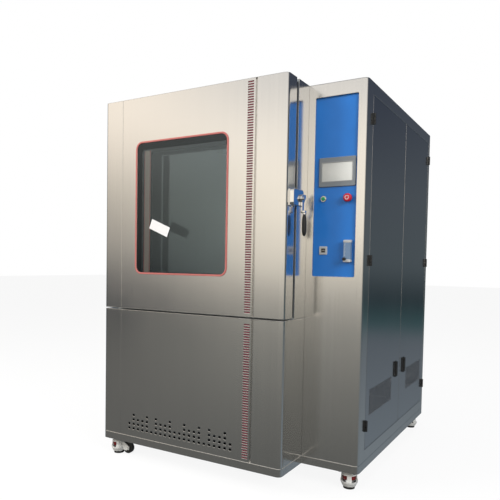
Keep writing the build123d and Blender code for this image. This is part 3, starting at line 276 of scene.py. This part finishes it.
paneGlass = glassMaterial()
creamSteel = finish("creamEdgeSteel", grain, (0.40, 0.31, 0.27), (0.56, 0.45, 0.40),
                    bump=0.05, depth=0.0003, Tone=0.7, Rough=0.4, Smudge=0.1)
paperWhite = finish("cardPaper", skin, (0.70, 0.70, 0.70), (0.84, 0.84, 0.84),
                    bump=0.10, depth=0.0002, Tone=1.0, Rough=0.75, Spread=0.1, Fine=1500.0)
screenPale = finish("screenGlass", skin, (0.62, 0.63, 0.60), (0.80, 0.80, 0.76),
                    bump=0.0, depth=0.0001, Tone=1.2, Rough=0.10, Spread=0.05, Fine=300.0)
bezelLight = finish("screenLip", skin, (0.26, 0.27, 0.28), (0.34, 0.35, 0.36),
                    bump=0.08, depth=0.0002, Tone=1.0, Rough=0.35, Spread=0.1, Fine=900.0)
inkWhite = finish("scaleInk", skin, (0.70, 0.72, 0.74), (0.85, 0.86, 0.88),
                  bump=0.0, depth=0.0001, Tone=1.0, Rough=0.5, Spread=0.1, Fine=900.0)
tubeWhite = finish("taperedTube", skin, (0.60, 0.66, 0.72), (0.80, 0.84, 0.88),
                   bump=0.0, depth=0.0001, Tone=1.0, Rough=0.12, Spread=0.1, Fine=400.0)


# The darker side steel with its painted shade, as a sheet whose hinge halves and handle plate, all that
# stands outside the sheet, are black.
# sheetFace is the x of the sheet's outer side.
def shadedServiceDoorMaterial():
    sheetFace = 0.70175
    material = shadedSideSteel.copy()
    material.name = "serviceDoorSteelPaintedShade"
    links = material.node_tree
    shader = links.nodes["Principled BSDF"]
    place = put(links, "ShaderNodeTexCoord")
    split = put(links, "ShaderNodeSeparateXYZ")
    join(links, place, "Object", split, "Vector")
    outside = put(links, "ShaderNodeMath", operation="GREATER_THAN")
    outside.inputs[1].default_value = sheetFace
    join(links, split, "X", outside, 0)
    steel = shader.inputs["Base Color"].links[0].from_socket
    mix = put(links, "ShaderNodeMix", data_type="RGBA")
    join(links, outside, "Value", mix, "Factor")
    links.links.new(steel, mix.inputs["A"])
    mix.inputs["B"].default_value = (0.016, 0.017, 0.018, 1)
    links.links.new(mix.outputs["Result"], shader.inputs["Base Color"])
    inside = put(links, "ShaderNodeMath", operation="SUBTRACT")
    inside.inputs[0].default_value = 1.0
    join(links, outside, "Value", inside, 1)
    join(links, inside, "Value", shader, "Metallic")
    return material


shadedServiceSteel = shadedServiceDoorMaterial()

dressing = (
    (frontSteel, ["chamber_side_panels", "top_panel", "rear_panel", "lower_front_panel", "door_shell",
                  "cabinet_frame", "base_frame"]),
    (shadedServiceSteel, ["service_door_front", "service_door_rear"]),
    (shadedSideSteel, ["door_hinge_posts", "door_hinge_leaves"]),
    (innerSteel, ["chamber_liner", "door_liner", "specimen_shelf"]),
    (ductSteel, ["circulation_duct"]),
    (chrome, ["latch_base", "latch_strike", "latch_lever", "flow_meter_float"]),
    (bluePaint, ["control_panel"]),
    (trimRed, ["window_trim"]),
    (shadedStripRed, ["door_strip_backing", "lower_strip_backing"]),
    (sealRubber, ["door_gasket"]),
    (spacerBlack, ["window_spacer"]),
    (paneGlass, ["window_panes"]),
    (woolMat, ["insulation", "door_insulation"]),
    (blackMetal, ["service_hinges"]),
    (blackPlastic, ["service_handle_front", "service_handle_rear", "flow_meter_knob", "power_inlet"]),
    (bezelGrey, ["touch_panel"]),
    (ringMetal, ["button_rings"]),
    (greenPlastic, ["start_button"]),
    (redPlastic, ["emergency_button"]),
    (lightPlastic, ["specimen_socket", "electrical_panel"]),
    (acrylic, ["flow_meter_body"]),
    (blowerPaint, ["blower_housing", "vacuum_pump"]),
    (motorPaint, ["drive_motors"]),
    (impellerAlloy, ["blower_impeller"]),
)
for material, names in dressing:
    for name in names:
        dress(name, material)
for corner in ("front_left", "front_right", "rear_left", "rear_right"):
    dress("caster_housing_" + corner, whiteCaster)
    dress("caster_wheel_" + corner, blackPlastic)
    dress("caster_thumbwheel_" + corner, thumbRed)
    dress("caster_foot_" + corner, sealRubber)
print("materials on", len(nodes), "nodes")


xAxis, yAxis, zAxis = 0, 1, 2


def clearSelection():
    if bpy.context.object and bpy.context.object.mode == "EDIT":
        bpy.ops.object.mode_set(mode="OBJECT")
    bpy.ops.object.select_all(action="DESELECT")


# Selects, in edit mode, what a test on a face's normal and middle, or on an edge's two ends, picks out
def pick(obj, faces=None, edges=None):
    bpy.ops.mesh.select_all(action="DESELECT")
    mesh = bmesh.from_edit_mesh(obj.data)
    mesh.select_mode = {"FACE"} if faces else {"EDGE"}
    for item in (mesh.faces if faces else mesh.edges):
        if faces:
            item.select = bool(faces(item.normal, item.calc_center_median()))
        else:
            item.select = bool(edges(item.verts[0].co, item.verts[1].co))
    mesh.select_flush_mode()
    bmesh.update_edit_mesh(obj.data)
    bpy.ops.mesh.select_mode(type="FACE" if faces else "EDGE")


def along(axis, tolerance=1e-5):
    others = [i for i in range(3) if i != axis]
    return lambda a, b: all(abs(a[i] - b[i]) < tolerance for i in others)


def applyAll(obj):
    clearSelection()
    bpy.context.view_layer.objects.active = obj
    obj.select_set(True)
    bpy.ops.object.transform_apply(location=True, rotation=True, scale=True)
    for modifier in list(obj.modifiers):
        bpy.ops.object.modifier_apply(modifier=modifier.name)


def soften(obj, width, segments=3, angle=35):
    modifier = obj.modifiers.new("softEdges", "BEVEL")
    modifier.width = width
    modifier.segments = segments
    modifier.limit_method = "ANGLE"
    modifier.angle_limit = radians(angle)
    modifier.harden_normals = False


def settle(obj, name, material, body, smooth=35):
    applyAll(obj)
    bpy.ops.object.shade_smooth_by_angle(angle=radians(smooth))
    obj.name = name
    obj.data.name = name
    obj.data.materials.clear()
    obj.data.materials.append(material)
    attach(obj, body)
    clearSelection()


# A block between two corners whose edges along one axis are rounded
def block(low, high, roundAxis=None, radius=0.0, segments=6):
    clearSelection()
    low, high = Vector(low), Vector(high)
    bpy.ops.mesh.primitive_cube_add(size=1, location=(low + high) / 2)
    obj = bpy.context.active_object
    obj.scale = high - low
    bpy.ops.object.transform_apply(location=False, rotation=False, scale=True)
    if roundAxis is not None and radius > 0:
        bpy.ops.object.mode_set(mode="EDIT")
        pick(obj, edges=along(roundAxis))
        bpy.ops.mesh.bevel(offset=radius, segments=segments)
        bpy.ops.object.mode_set(mode="OBJECT")
    return obj


# Opens a block right through along one axis, leaving a rim of the given width
def openThrough(obj, axis, rim):
    bpy.ops.object.mode_set(mode="EDIT")
    pick(obj, faces=lambda normal, middle: abs(normal[axis]) > 0.99)
    bpy.ops.mesh.inset(thickness=rim, use_individual=True)
    bpy.ops.mesh.bridge_edge_loops()
    bpy.ops.object.mode_set(mode="OBJECT")


def drum(radius, depth, place, axis, sides=48):
    clearSelection()
    turn = {xAxis: (0, pi / 2, 0), yAxis: (pi / 2, 0, 0), zAxis: (0, 0, 0)}[axis]
    bpy.ops.mesh.primitive_cylinder_add(vertices=sides, radius=radius, depth=depth,
                                        location=place, rotation=turn)
    return bpy.context.active_object


def merge(objects):
    clearSelection()
    for obj in objects:
        applyAll(obj)
    for obj in objects:
        obj.select_set(True)
    bpy.context.view_layer.objects.active = objects[0]
    if len(objects) > 1:
        bpy.ops.object.join()
    return bpy.context.view_layer.objects.active


def windowTrim():
    size = {"rim": 0.009, "corner": 0.042, "edge": 0.0009}
    low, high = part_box("window_trim")
    trim = block(low, high, yAxis, size["corner"], 10)
    openThrough(trim, yAxis, size["rim"])
    soften(trim, size["edge"], 3)
    settle(trim, "windowTrimRounded", trimRed, "main_door")
    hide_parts("window_trim")


# A pale strip with red edges that runs down the outer pane
def paneEdgeStrip():
    size = {"left": 0.276, "width": 0.040, "low": 1.031, "high": 1.670, "front": 0.0072, "depth": 0.006,
            "line": 0.005, "lineDepth": 0.003, "proud": 0.0005, "corner": 0.001, "edge": 0.0006,
            "lineCorner": 0.0012}
    doorLow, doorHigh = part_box("door_shell")
    x, y = doorLow.x + size["left"], doorLow.y + size["front"]
    right = x + size["width"]
    bar = block((x, y, size["low"]), (right, y + size["depth"], size["high"]), zAxis, size["corner"], 3)
    soften(bar, size["edge"], 2)
    settle(bar, "paneEdgeBar", creamSteel, "main_door")
    lines = []
    for start in (x - size["proud"], right - size["line"] + size["proud"]):
        low = (start, y - size["proud"], size["low"])
        high = (start + size["line"], y + size["lineDepth"], size["high"])
        lines.append(block(low, high, zAxis, size["lineCorner"], 4))
    settle(merge(lines), "paneEdgeLines", trimRed, "main_door")


# A blank card on the glass, whose free end curls away from it
def cardTag():
    size = {"width": 0.128, "height": 0.052, "turn": -22, "thick": 0.0006, "across": 0.385, "up": 1.262,
            "gap": 0.0004, "curl": 0.4, "curlFrom": -0.01}
    doorLow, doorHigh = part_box("door_shell")
    paneLow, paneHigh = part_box("window_panes")
    clearSelection()
    bpy.ops.mesh.primitive_grid_add(x_subdivisions=16, y_subdivisions=6, size=1,
                                    location=(0, 0, 0), rotation=(pi / 2, 0, 0))
    card = bpy.context.active_object
    card.scale = (size["width"], size["height"], 1)
    bpy.ops.object.transform_apply(location=False, rotation=True, scale=True)
    bpy.ops.object.mode_set(mode="EDIT")
    bpy.ops.mesh.select_all(action="SELECT")
    bpy.ops.transform.rotate(value=radians(size["turn"]), orient_axis="Y", orient_type="GLOBAL",
                             center_override=(0, 0, 0))
    bpy.ops.object.mode_set(mode="OBJECT")
    for vertex in card.data.vertices:
        past = max(0.0, vertex.co.x - size["curlFrom"])
        vertex.co.y -= size["curl"] * past * past + size["gap"]
    card.location = (doorLow.x + size["across"], paneLow.y - size["gap"], size["up"])
    modifier = card.modifiers.new("paper", "SOLIDIFY")
    modifier.thickness = size["thick"]
    settle(card, "blankCardTag", paperWhite, "main_door")


# Hub, collar, arm, elbow, cam and neck of the lever
def latchLever():
    size = {"hub": 0.020, "hubThick": 0.011, "collar": 0.0115, "collarThick": 0.006, "collarOut": 0.010,
            "drop": 0.067, "thick": 0.0095, "halfArm": 0.010, "armTop": 0.004, "armCorner": 0.005,
            "gripOut": 0.01685, "halfElbow": 0.008, "elbowHigh": 0.012, "elbowPast": 0.006,
            "camFrom": 0.002, "camBelow": 0.007, "camAbove": 0.009, "camCorner": 0.006,
            "neck": 0.0078, "neckLong": 0.012, "neckBelow": 0.004, "gripBelow": 0.002,
            "elbowCorner": 0.004, "soft": 0.0015, "hubSoft": 0.0025, "armSoft": 0.0018}
    low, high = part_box("latch_lever")
    baseLow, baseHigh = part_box("latch_base")
    hubY, hubZ = low.y + size["hub"], (baseLow.z + baseHigh.z) / 2
    x, out, foot = low.x, low.x + size["gripOut"], hubZ - size["drop"]
    hub = drum(size["hub"], size["hubThick"], (x + size["hubThick"] / 2, hubY, hubZ), xAxis)
    soften(hub, size["hubSoft"], 3)
    collar = drum(size["collar"], size["collarThick"], (x + size["collarOut"], hubY, hubZ), xAxis)
    soften(collar, size["soft"], 3)
    armEnd = (x + size["thick"], hubY + size["halfArm"], hubZ - size["armTop"])
    arm = block((x, hubY - size["halfArm"], foot), armEnd, xAxis, size["armCorner"], 5)
    soften(arm, size["armSoft"], 3)
    elbowEnd = (out + size["elbowPast"], hubY + size["halfElbow"], foot + size["elbowHigh"])
    elbow = block((x, hubY - size["halfElbow"], foot), elbowEnd, yAxis, size["elbowCorner"], 5)
    soften(elbow, size["soft"], 3)
    camEnd = (x + size["thick"], high.y, hubZ + size["camAbove"])
    cam = block((x, hubY + size["camFrom"], hubZ - size["camBelow"]), camEnd, xAxis, size["camCorner"], 6)
    soften(cam, size["soft"], 3)
    neck = drum(size["neck"], size["neckLong"], (out, hubY, foot - size["neckBelow"]), zAxis)
    soften(neck, size["soft"], 3)
    lever = merge([hub, collar, arm, elbow, cam, neck])
    settle(lever, "latchChromeLever", chrome, "latch")
    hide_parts("latch_lever")
    latchGrip(out, hubY, low.z, foot - size["gripBelow"])
    latchFixings(baseLow)


# A long drop: square-shouldered, fullest below the middle
def latchGrip(x, y, low, high):
    size = {"wide": 0.0120, "deep": 0.0118, "squareness": 3.2, "lean": 0.0018,
            "fullness": 0.92, "swell": 0.08}
    clearSelection()
    bpy.ops.mesh.primitive_uv_sphere_add(segments=40, ring_count=24, radius=1, location=(0, 0, 0))
    grip = bpy.context.active_object
    half = (high - low) / 2
    for vertex in grip.data.vertices:
        up = vertex.co.z
        full = (1 - abs(up) ** size["squareness"]) ** 0.5 if abs(up) < 1 else 0.0
        flat = max(1e-6, (1 - up * up) ** 0.5)
        wide = full / flat * (size["fullness"] - size["swell"] * up)
        vertex.co.x *= wide * size["wide"]
        vertex.co.y *= wide * size["deep"]
        vertex.co.z = up * half
        vertex.co.x -= size["lean"] * up * (1 - abs(up))
    grip.location = (x, y, (low + high) / 2)
    settle(grip, "latchBlackGrip", blackPlastic, "latch")


# Two pan-headed screws low on the latch plate, below where the lever swings
def latchFixings(low):
    size = {"head": 0.0042, "depth": 0.0024, "out": 0.0055, "fromFront": 0.009,
            "apart": 0.030, "fromEnd": 0.003, "edge": 0.0009}
    z = low.z + size["fromEnd"] + size["head"]
    heads = []
    for y in (low.y + size["fromFront"], low.y + size["fromFront"] + size["apart"]):
        head = drum(size["head"], size["depth"], (low.x + size["out"], y, z), xAxis, 24)
        soften(head, size["edge"], 2)
        heads.append(head)
    settle(merge(heads), "latchFixings", chrome, "main_door")


# The blank screen and the raised lip round it
def touchFace():
    size = {"halfWide": 0.0755, "halfHigh": 0.0435, "sunk": 0.0008, "back": 0.0021,
            "corner": 0.001, "edge": 0.0003, "lipPast": 0.005, "lipWide": 0.0045, "lipHalf": 0.0006,
            "lipCorner": 0.003, "lipEdge": 0.0004}
    low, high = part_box("touch_panel")
    middle = Vector(((low.x + high.x) / 2, low.y, (low.z + high.z) / 2))
    half = Vector((size["halfWide"], 0, size["halfHigh"]))
    face = block((middle.x - half.x, low.y + size["sunk"], middle.z - half.z),
                 (middle.x + half.x, low.y + size["back"], middle.z + half.z), yAxis, size["corner"], 3)
    soften(face, size["edge"], 2)
    settle(face, "touchScreenFace", screenPale, "body")
    past = size["lipPast"]
    lip = block((middle.x - half.x - past, low.y - size["lipHalf"], middle.z - half.z - past),
                (middle.x + half.x + past, low.y + size["lipHalf"], middle.z + half.z + past),
                yAxis, size["lipCorner"], 5)
    openThrough(lip, yAxis, size["lipWide"])
    soften(lip, size["lipEdge"], 2)
    settle(lip, "touchScreenLip", bezelLight, "body")


# End blocks, scale ticks and the tube of the flow meter
def flowMeterDetails():
    size = {"endIn": 0.006, "endHalf": 0.0065, "endPast": 0.0006, "endProud": 0.0012, "endDeep": 0.0215,
            "ticks": 16, "firstTick": 0.031, "tickGap": 0.0036, "tickLeft": 0.0135, "shortTick": 0.0045,
            "longTick": 0.0075, "everyLong": 5, "tickDeep": 0.0003, "tickHalf": 0.00035,
            "tube": 0.0040, "tubeLong": 0.064, "tubeIn": 0.0040, "tubeUp": 0.059,
            "endCorner": 0.003, "endEdge": 0.0006, "tickCorner": 0.0001, "tubeEdge": 0.0008}
    low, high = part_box("flow_meter_body")
    x, front = (low.x + high.x) / 2, low.y
    ends = []
    for z in (low.z + size["endIn"], high.z - size["endIn"]):
        endLow = (low.x - size["endPast"], front - size["endProud"], z - size["endHalf"])
        endHigh = (high.x + size["endPast"], front + size["endDeep"], z + size["endHalf"])
        end = block(endLow, endHigh, yAxis, size["endCorner"], 4)
        soften(end, size["endEdge"], 2)
        ends.append(end)
    settle(merge(ends), "flowMeterEnds", lightPlastic, "body")
    ticks = []
    left = x - size["tickLeft"]
    for i in range(size["ticks"]):
        z = low.z + size["firstTick"] + i * size["tickGap"]
        wide = size["longTick"] if i % size["everyLong"] == 0 else size["shortTick"]
        tickLow = (left, front - size["tickDeep"], z - size["tickHalf"])
        tickHigh = (left + wide, front + size["tickDeep"], z + size["tickHalf"])
        ticks.append(block(tickLow, tickHigh, yAxis, size["tickCorner"], 1))
    settle(merge(ticks), "flowMeterTicks", inkWhite, "body")
    middle = (x, front + size["tubeIn"], low.z + size["tubeUp"])
    tube = drum(size["tube"], size["tubeLong"], middle, zAxis, 32)
    soften(tube, size["tubeEdge"], 2)
    settle(tube, "flowMeterTube", tubeWhite, "body")


# The dark well of the specimen socket, with two open jacks
def socketDetails():
    size = {"halfWide": 0.0105, "halfHigh": 0.0095, "front": 0.0012, "back": 0.0028,
            "jack": 0.0034, "jackDeep": 0.0042, "jackIn": 0.0008, "jackApart": 0.010, "wall": 0.0012,
            "bore": 0.0025, "corner": 0.002, "edge": 0.0004}
    low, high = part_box("specimen_socket")
    x, z = (low.x + high.x) / 2, (low.z + high.z) / 2
    well = block((x - size["halfWide"], low.y + size["front"], z - size["halfHigh"]),
                 (x + size["halfWide"], low.y + size["back"], z + size["halfHigh"]),
                 yAxis, size["corner"], 4)
    soften(well, size["edge"], 2)
    settle(well, "socketWell", blackPlastic, "body")
    jacks = []
    for side in (-size["jackApart"] / 2, size["jackApart"] / 2):
        jack = drum(size["jack"], size["jackDeep"], (x + side, low.y + size["jackIn"], z), yAxis, 28)
        bpy.ops.object.mode_set(mode="EDIT")
        pick(jack, faces=lambda normal, middle: abs(normal.z) > 0.99 and middle.z > 0)
        bpy.ops.mesh.inset(thickness=size["wall"])
        bpy.ops.mesh.extrude_region_move(TRANSFORM_OT_translate={"value": (0, size["bore"], 0)})
        bpy.ops.object.mode_set(mode="OBJECT")
        jacks.append(jack)
    settle(merge(jacks), "socketJacks", ringMetal, "body")


# A pale ring on the mushroom button and a raised lens on the green one
def buttonDetails():
    size = {"ring": 0.0085, "ringThick": 0.0016, "ringIn": 0.0010, "lens": 0.0084, "lensThick": 0.0016,
            "lensOut": 0.0004, "lensEdge": 0.0006}
    low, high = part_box("emergency_button")
    x, z = (low.x + high.x) / 2, (low.z + high.z) / 2
    clearSelection()
    bpy.ops.mesh.primitive_torus_add(major_radius=size["ring"], minor_radius=size["ringThick"],
                                     major_segments=48, minor_segments=10,
                                     location=(x, low.y + size["ringIn"], z), rotation=(pi / 2, 0, 0))
    settle(bpy.context.active_object, "stopPaleRing", inkWhite, "stop_cap")
    low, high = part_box("start_button")
    x, z = (low.x + high.x) / 2, (low.z + high.z) / 2
    lens = drum(size["lens"], size["lensThick"], (x, low.y - size["lensOut"], z), yAxis)
    soften(lens, size["lensEdge"], 3)
    settle(lens, "startLens", greenPlastic, "start_cap")


for makePiece in (windowTrim, paneEdgeStrip, cardTag, latchLever, touchFace, flowMeterDetails,
                  socketDetails, buttonDetails):
    makePiece()
print("pieces added")


# Near-white to the camera; every other ray passes through to the lower half of the world
def floorMaterial():
    glowShare = 0.90
    material, links, shader = tree("paleFloor")
    shader.inputs["Base Color"].default_value = (0.92, 0.92, 0.92, 1)
    shader.inputs["Roughness"].default_value = 0.9
    glow = put(links, "ShaderNodeEmission", Color=(1, 1, 1, 1), Strength=1.0)
    lifted = put(links, "ShaderNodeMixShader")
    lifted.inputs[0].default_value = glowShare
    links.links.new(shader.outputs["BSDF"], lifted.inputs[1])
    links.links.new(glow.outputs["Emission"], lifted.inputs[2])
    clear = put(links, "ShaderNodeBsdfTransparent")
    path = put(links, "ShaderNodeLightPath")
    mix = put(links, "ShaderNodeMixShader")
    join(links, path, "Is Camera Ray", mix, "Fac")
    links.links.new(clear.outputs["BSDF"], mix.inputs[1])
    links.links.new(lifted.outputs["Shader"], mix.inputs[2])
    links.links.new(mix.outputs["Shader"], links.nodes["Material Output"].inputs["Surface"])
    return material


bpy.ops.object.select_all(action="DESELECT")
bpy.ops.mesh.primitive_plane_add(size=60, location=(0, 0, 0))
floor = bpy.context.active_object
floor.name = "studioFloor"
floor.data.materials.append(floorMaterial())

world = bpy.data.worlds.new("softStudio")
bpy.context.scene.world = world
world.use_nodes = True
sky = world.node_tree
plain = sky.nodes["Background"]
plain.inputs["Color"].default_value = (1, 1, 1, 1)
plain.inputs["Strength"].default_value = 1.0
way = put(sky, "ShaderNodeTexCoord")
parts = put(sky, "ShaderNodeSeparateXYZ")
join(sky, way, "Generated", parts, "Vector")

# Room seen in the steel: each wall is a vertical run of tones, given as (rise of the ray, colour)
reach = 0.4
room = {
    "leftWall": [(-0.14, (0.125, 0.125, 0.12)), (-0.095, (0.052, 0.056, 0.060)),
                 (-0.035, (0.078, 0.080, 0.090)), (0.015, (0.33, 0.31, 0.28)), (0.12, (0.58, 0.53, 0.46)),
                 (0.23, (1.20, 1.08, 0.94))],
    "frontWall": [(-0.34, (0.105, 0.108, 0.105)), (-0.10, (0.245, 0.245, 0.228)),
                  (-0.055, (0.38, 0.365, 0.33)), (-0.015, (0.84, 0.78, 0.68)), (0.10, (1.14, 1.05, 0.90)),
                  (0.23, (1.12, 1.05, 0.95)), (0.31, (0.74, 0.73, 0.72))],
    "sideWall": [(-0.30, (0.18, 0.21, 0.235)), (-0.125, (0.13, 0.15, 0.17)), (-0.10, (0.04, 0.09, 0.095)),
                 (-0.06, (0.027, 0.040, 0.047)), (0.0, (0.09, 0.11, 0.12)), (0.12, (0.09, 0.105, 0.12)),
                 (0.30, (0.05, 0.06, 0.085))],
}


def wallRamp(stops):
    ramp = put(sky, "ShaderNodeValToRGB")
    for i, (rise, colour) in enumerate(stops):
        spot = (rise + reach) / (2 * reach)
        stop = ramp.color_ramp.elements[i] if i < 2 else ramp.color_ramp.elements.new(spot)
        stop.position = spot
        stop.color = (*colour, 1)
    join(sky, height, "Result", ramp, "Fac")
    return ramp


def spread(axis, start, stop):
    share = put(sky, "ShaderNodeMapRange")
    share.inputs["From Min"].default_value = start
    share.inputs["From Max"].default_value = stop
    join(sky, parts, axis, share, "Value")
    return share


def blend(share, first, second):
    mix = put(sky, "ShaderNodeMix", data_type="RGBA")
    join(sky, share, "Result", mix, "Factor")
    sky.links.new(first, mix.inputs["A"])
    sky.links.new(second, mix.inputs["B"])
    return mix.outputs["Result"]


height = spread("Z", -reach, reach)
walls = {name: wallRamp(stops).outputs["Color"] for name, stops in room.items()}
# The left wall takes over for rays that leave well to the left, the side wall for rays to the back
ahead = blend(spread("X", -0.47, -0.68), walls["frontWall"], walls["leftWall"])
around = blend(spread("Y", -0.30, 0.10), ahead, walls["sideWall"])
mirrored = put(sky, "ShaderNodeBackground", Strength=1.0)
sky.links.new(around, mirrored.inputs["Color"])
rays = put(sky, "ShaderNodeLightPath")
choice = put(sky, "ShaderNodeMixShader")
join(sky, rays, "Is Camera Ray", choice, "Fac")
sky.links.new(mirrored.outputs["Background"], choice.inputs[1])
sky.links.new(plain.outputs["Background"], choice.inputs[2])
sky.links.new(choice.outputs["Shader"], sky.nodes["World Output"].inputs["Surface"])


# Area lamps light paint and plastic only: the steel mirrors the room alone
def lamp(name, place, aim, size, power, colour=(1, 1, 1)):
    data = bpy.data.lights.new(name, "AREA")
    data.shape = "RECTANGLE"
    data.size, data.size_y = size
    data.energy = power
    data.color = colour
    holder = bpy.data.objects.new(name, data)
    bpy.context.scene.collection.objects.link(holder)
    holder.location = place
    holder.visible_glossy = False
    holder.visible_transmission = False
    holder.rotation_euler = (Vector(aim) - Vector(place)).to_track_quat("-Z", "Y").to_euler()


lamp("leftSoftbox", (-3.6, -4.2, 3.4), aim=(0, -0.3, 1.0), size=(3.2, 2.4),
     power=270, colour=(1.0, 0.98, 0.95))
lamp("rightSoftbox", (4.6, -2.6, 3.0), aim=(0.2, 0, 0.9), size=(2.4, 2.4),
     power=170, colour=(0.96, 0.98, 1.0))
lamp("topSoftbox", (0, 0.2, 5.0), aim=(0, 0, 1.0), size=(4.0, 4.0), power=120)

# The camera of the photograph: fitted to the corners of the body
view = {"place": (1.5203, -3.0861, 1.0850), "pitch": -2.4425, "roll": -0.9969, "yaw": 30.9726,
        "lens": 40.015, "shift": (0.0317, 0.0739)}
cameraData = bpy.data.cameras.new("photoCamera")
cameraData.sensor_width = 36
cameraData.lens = view["lens"]
cameraData.shift_x, cameraData.shift_y = view["shift"]
cameraData.clip_end = 100
camera = bpy.data.objects.new("photoCamera", cameraData)
bpy.context.scene.collection.objects.link(camera)
turned = (Matrix.Rotation(radians(view["yaw"]), 4, "Z") @ Matrix.Rotation(radians(view["pitch"]), 4, "X")
          @ Matrix.Rotation(radians(view["roll"]), 4, "Y") @ Matrix.Rotation(pi / 2, 4, "X"))
camera.matrix_world = Matrix.Translation(view["place"]) @ turned
bpy.context.scene.camera = camera
bpy.context.scene.view_settings.view_transform = "Standard"
print("stage and camera set")
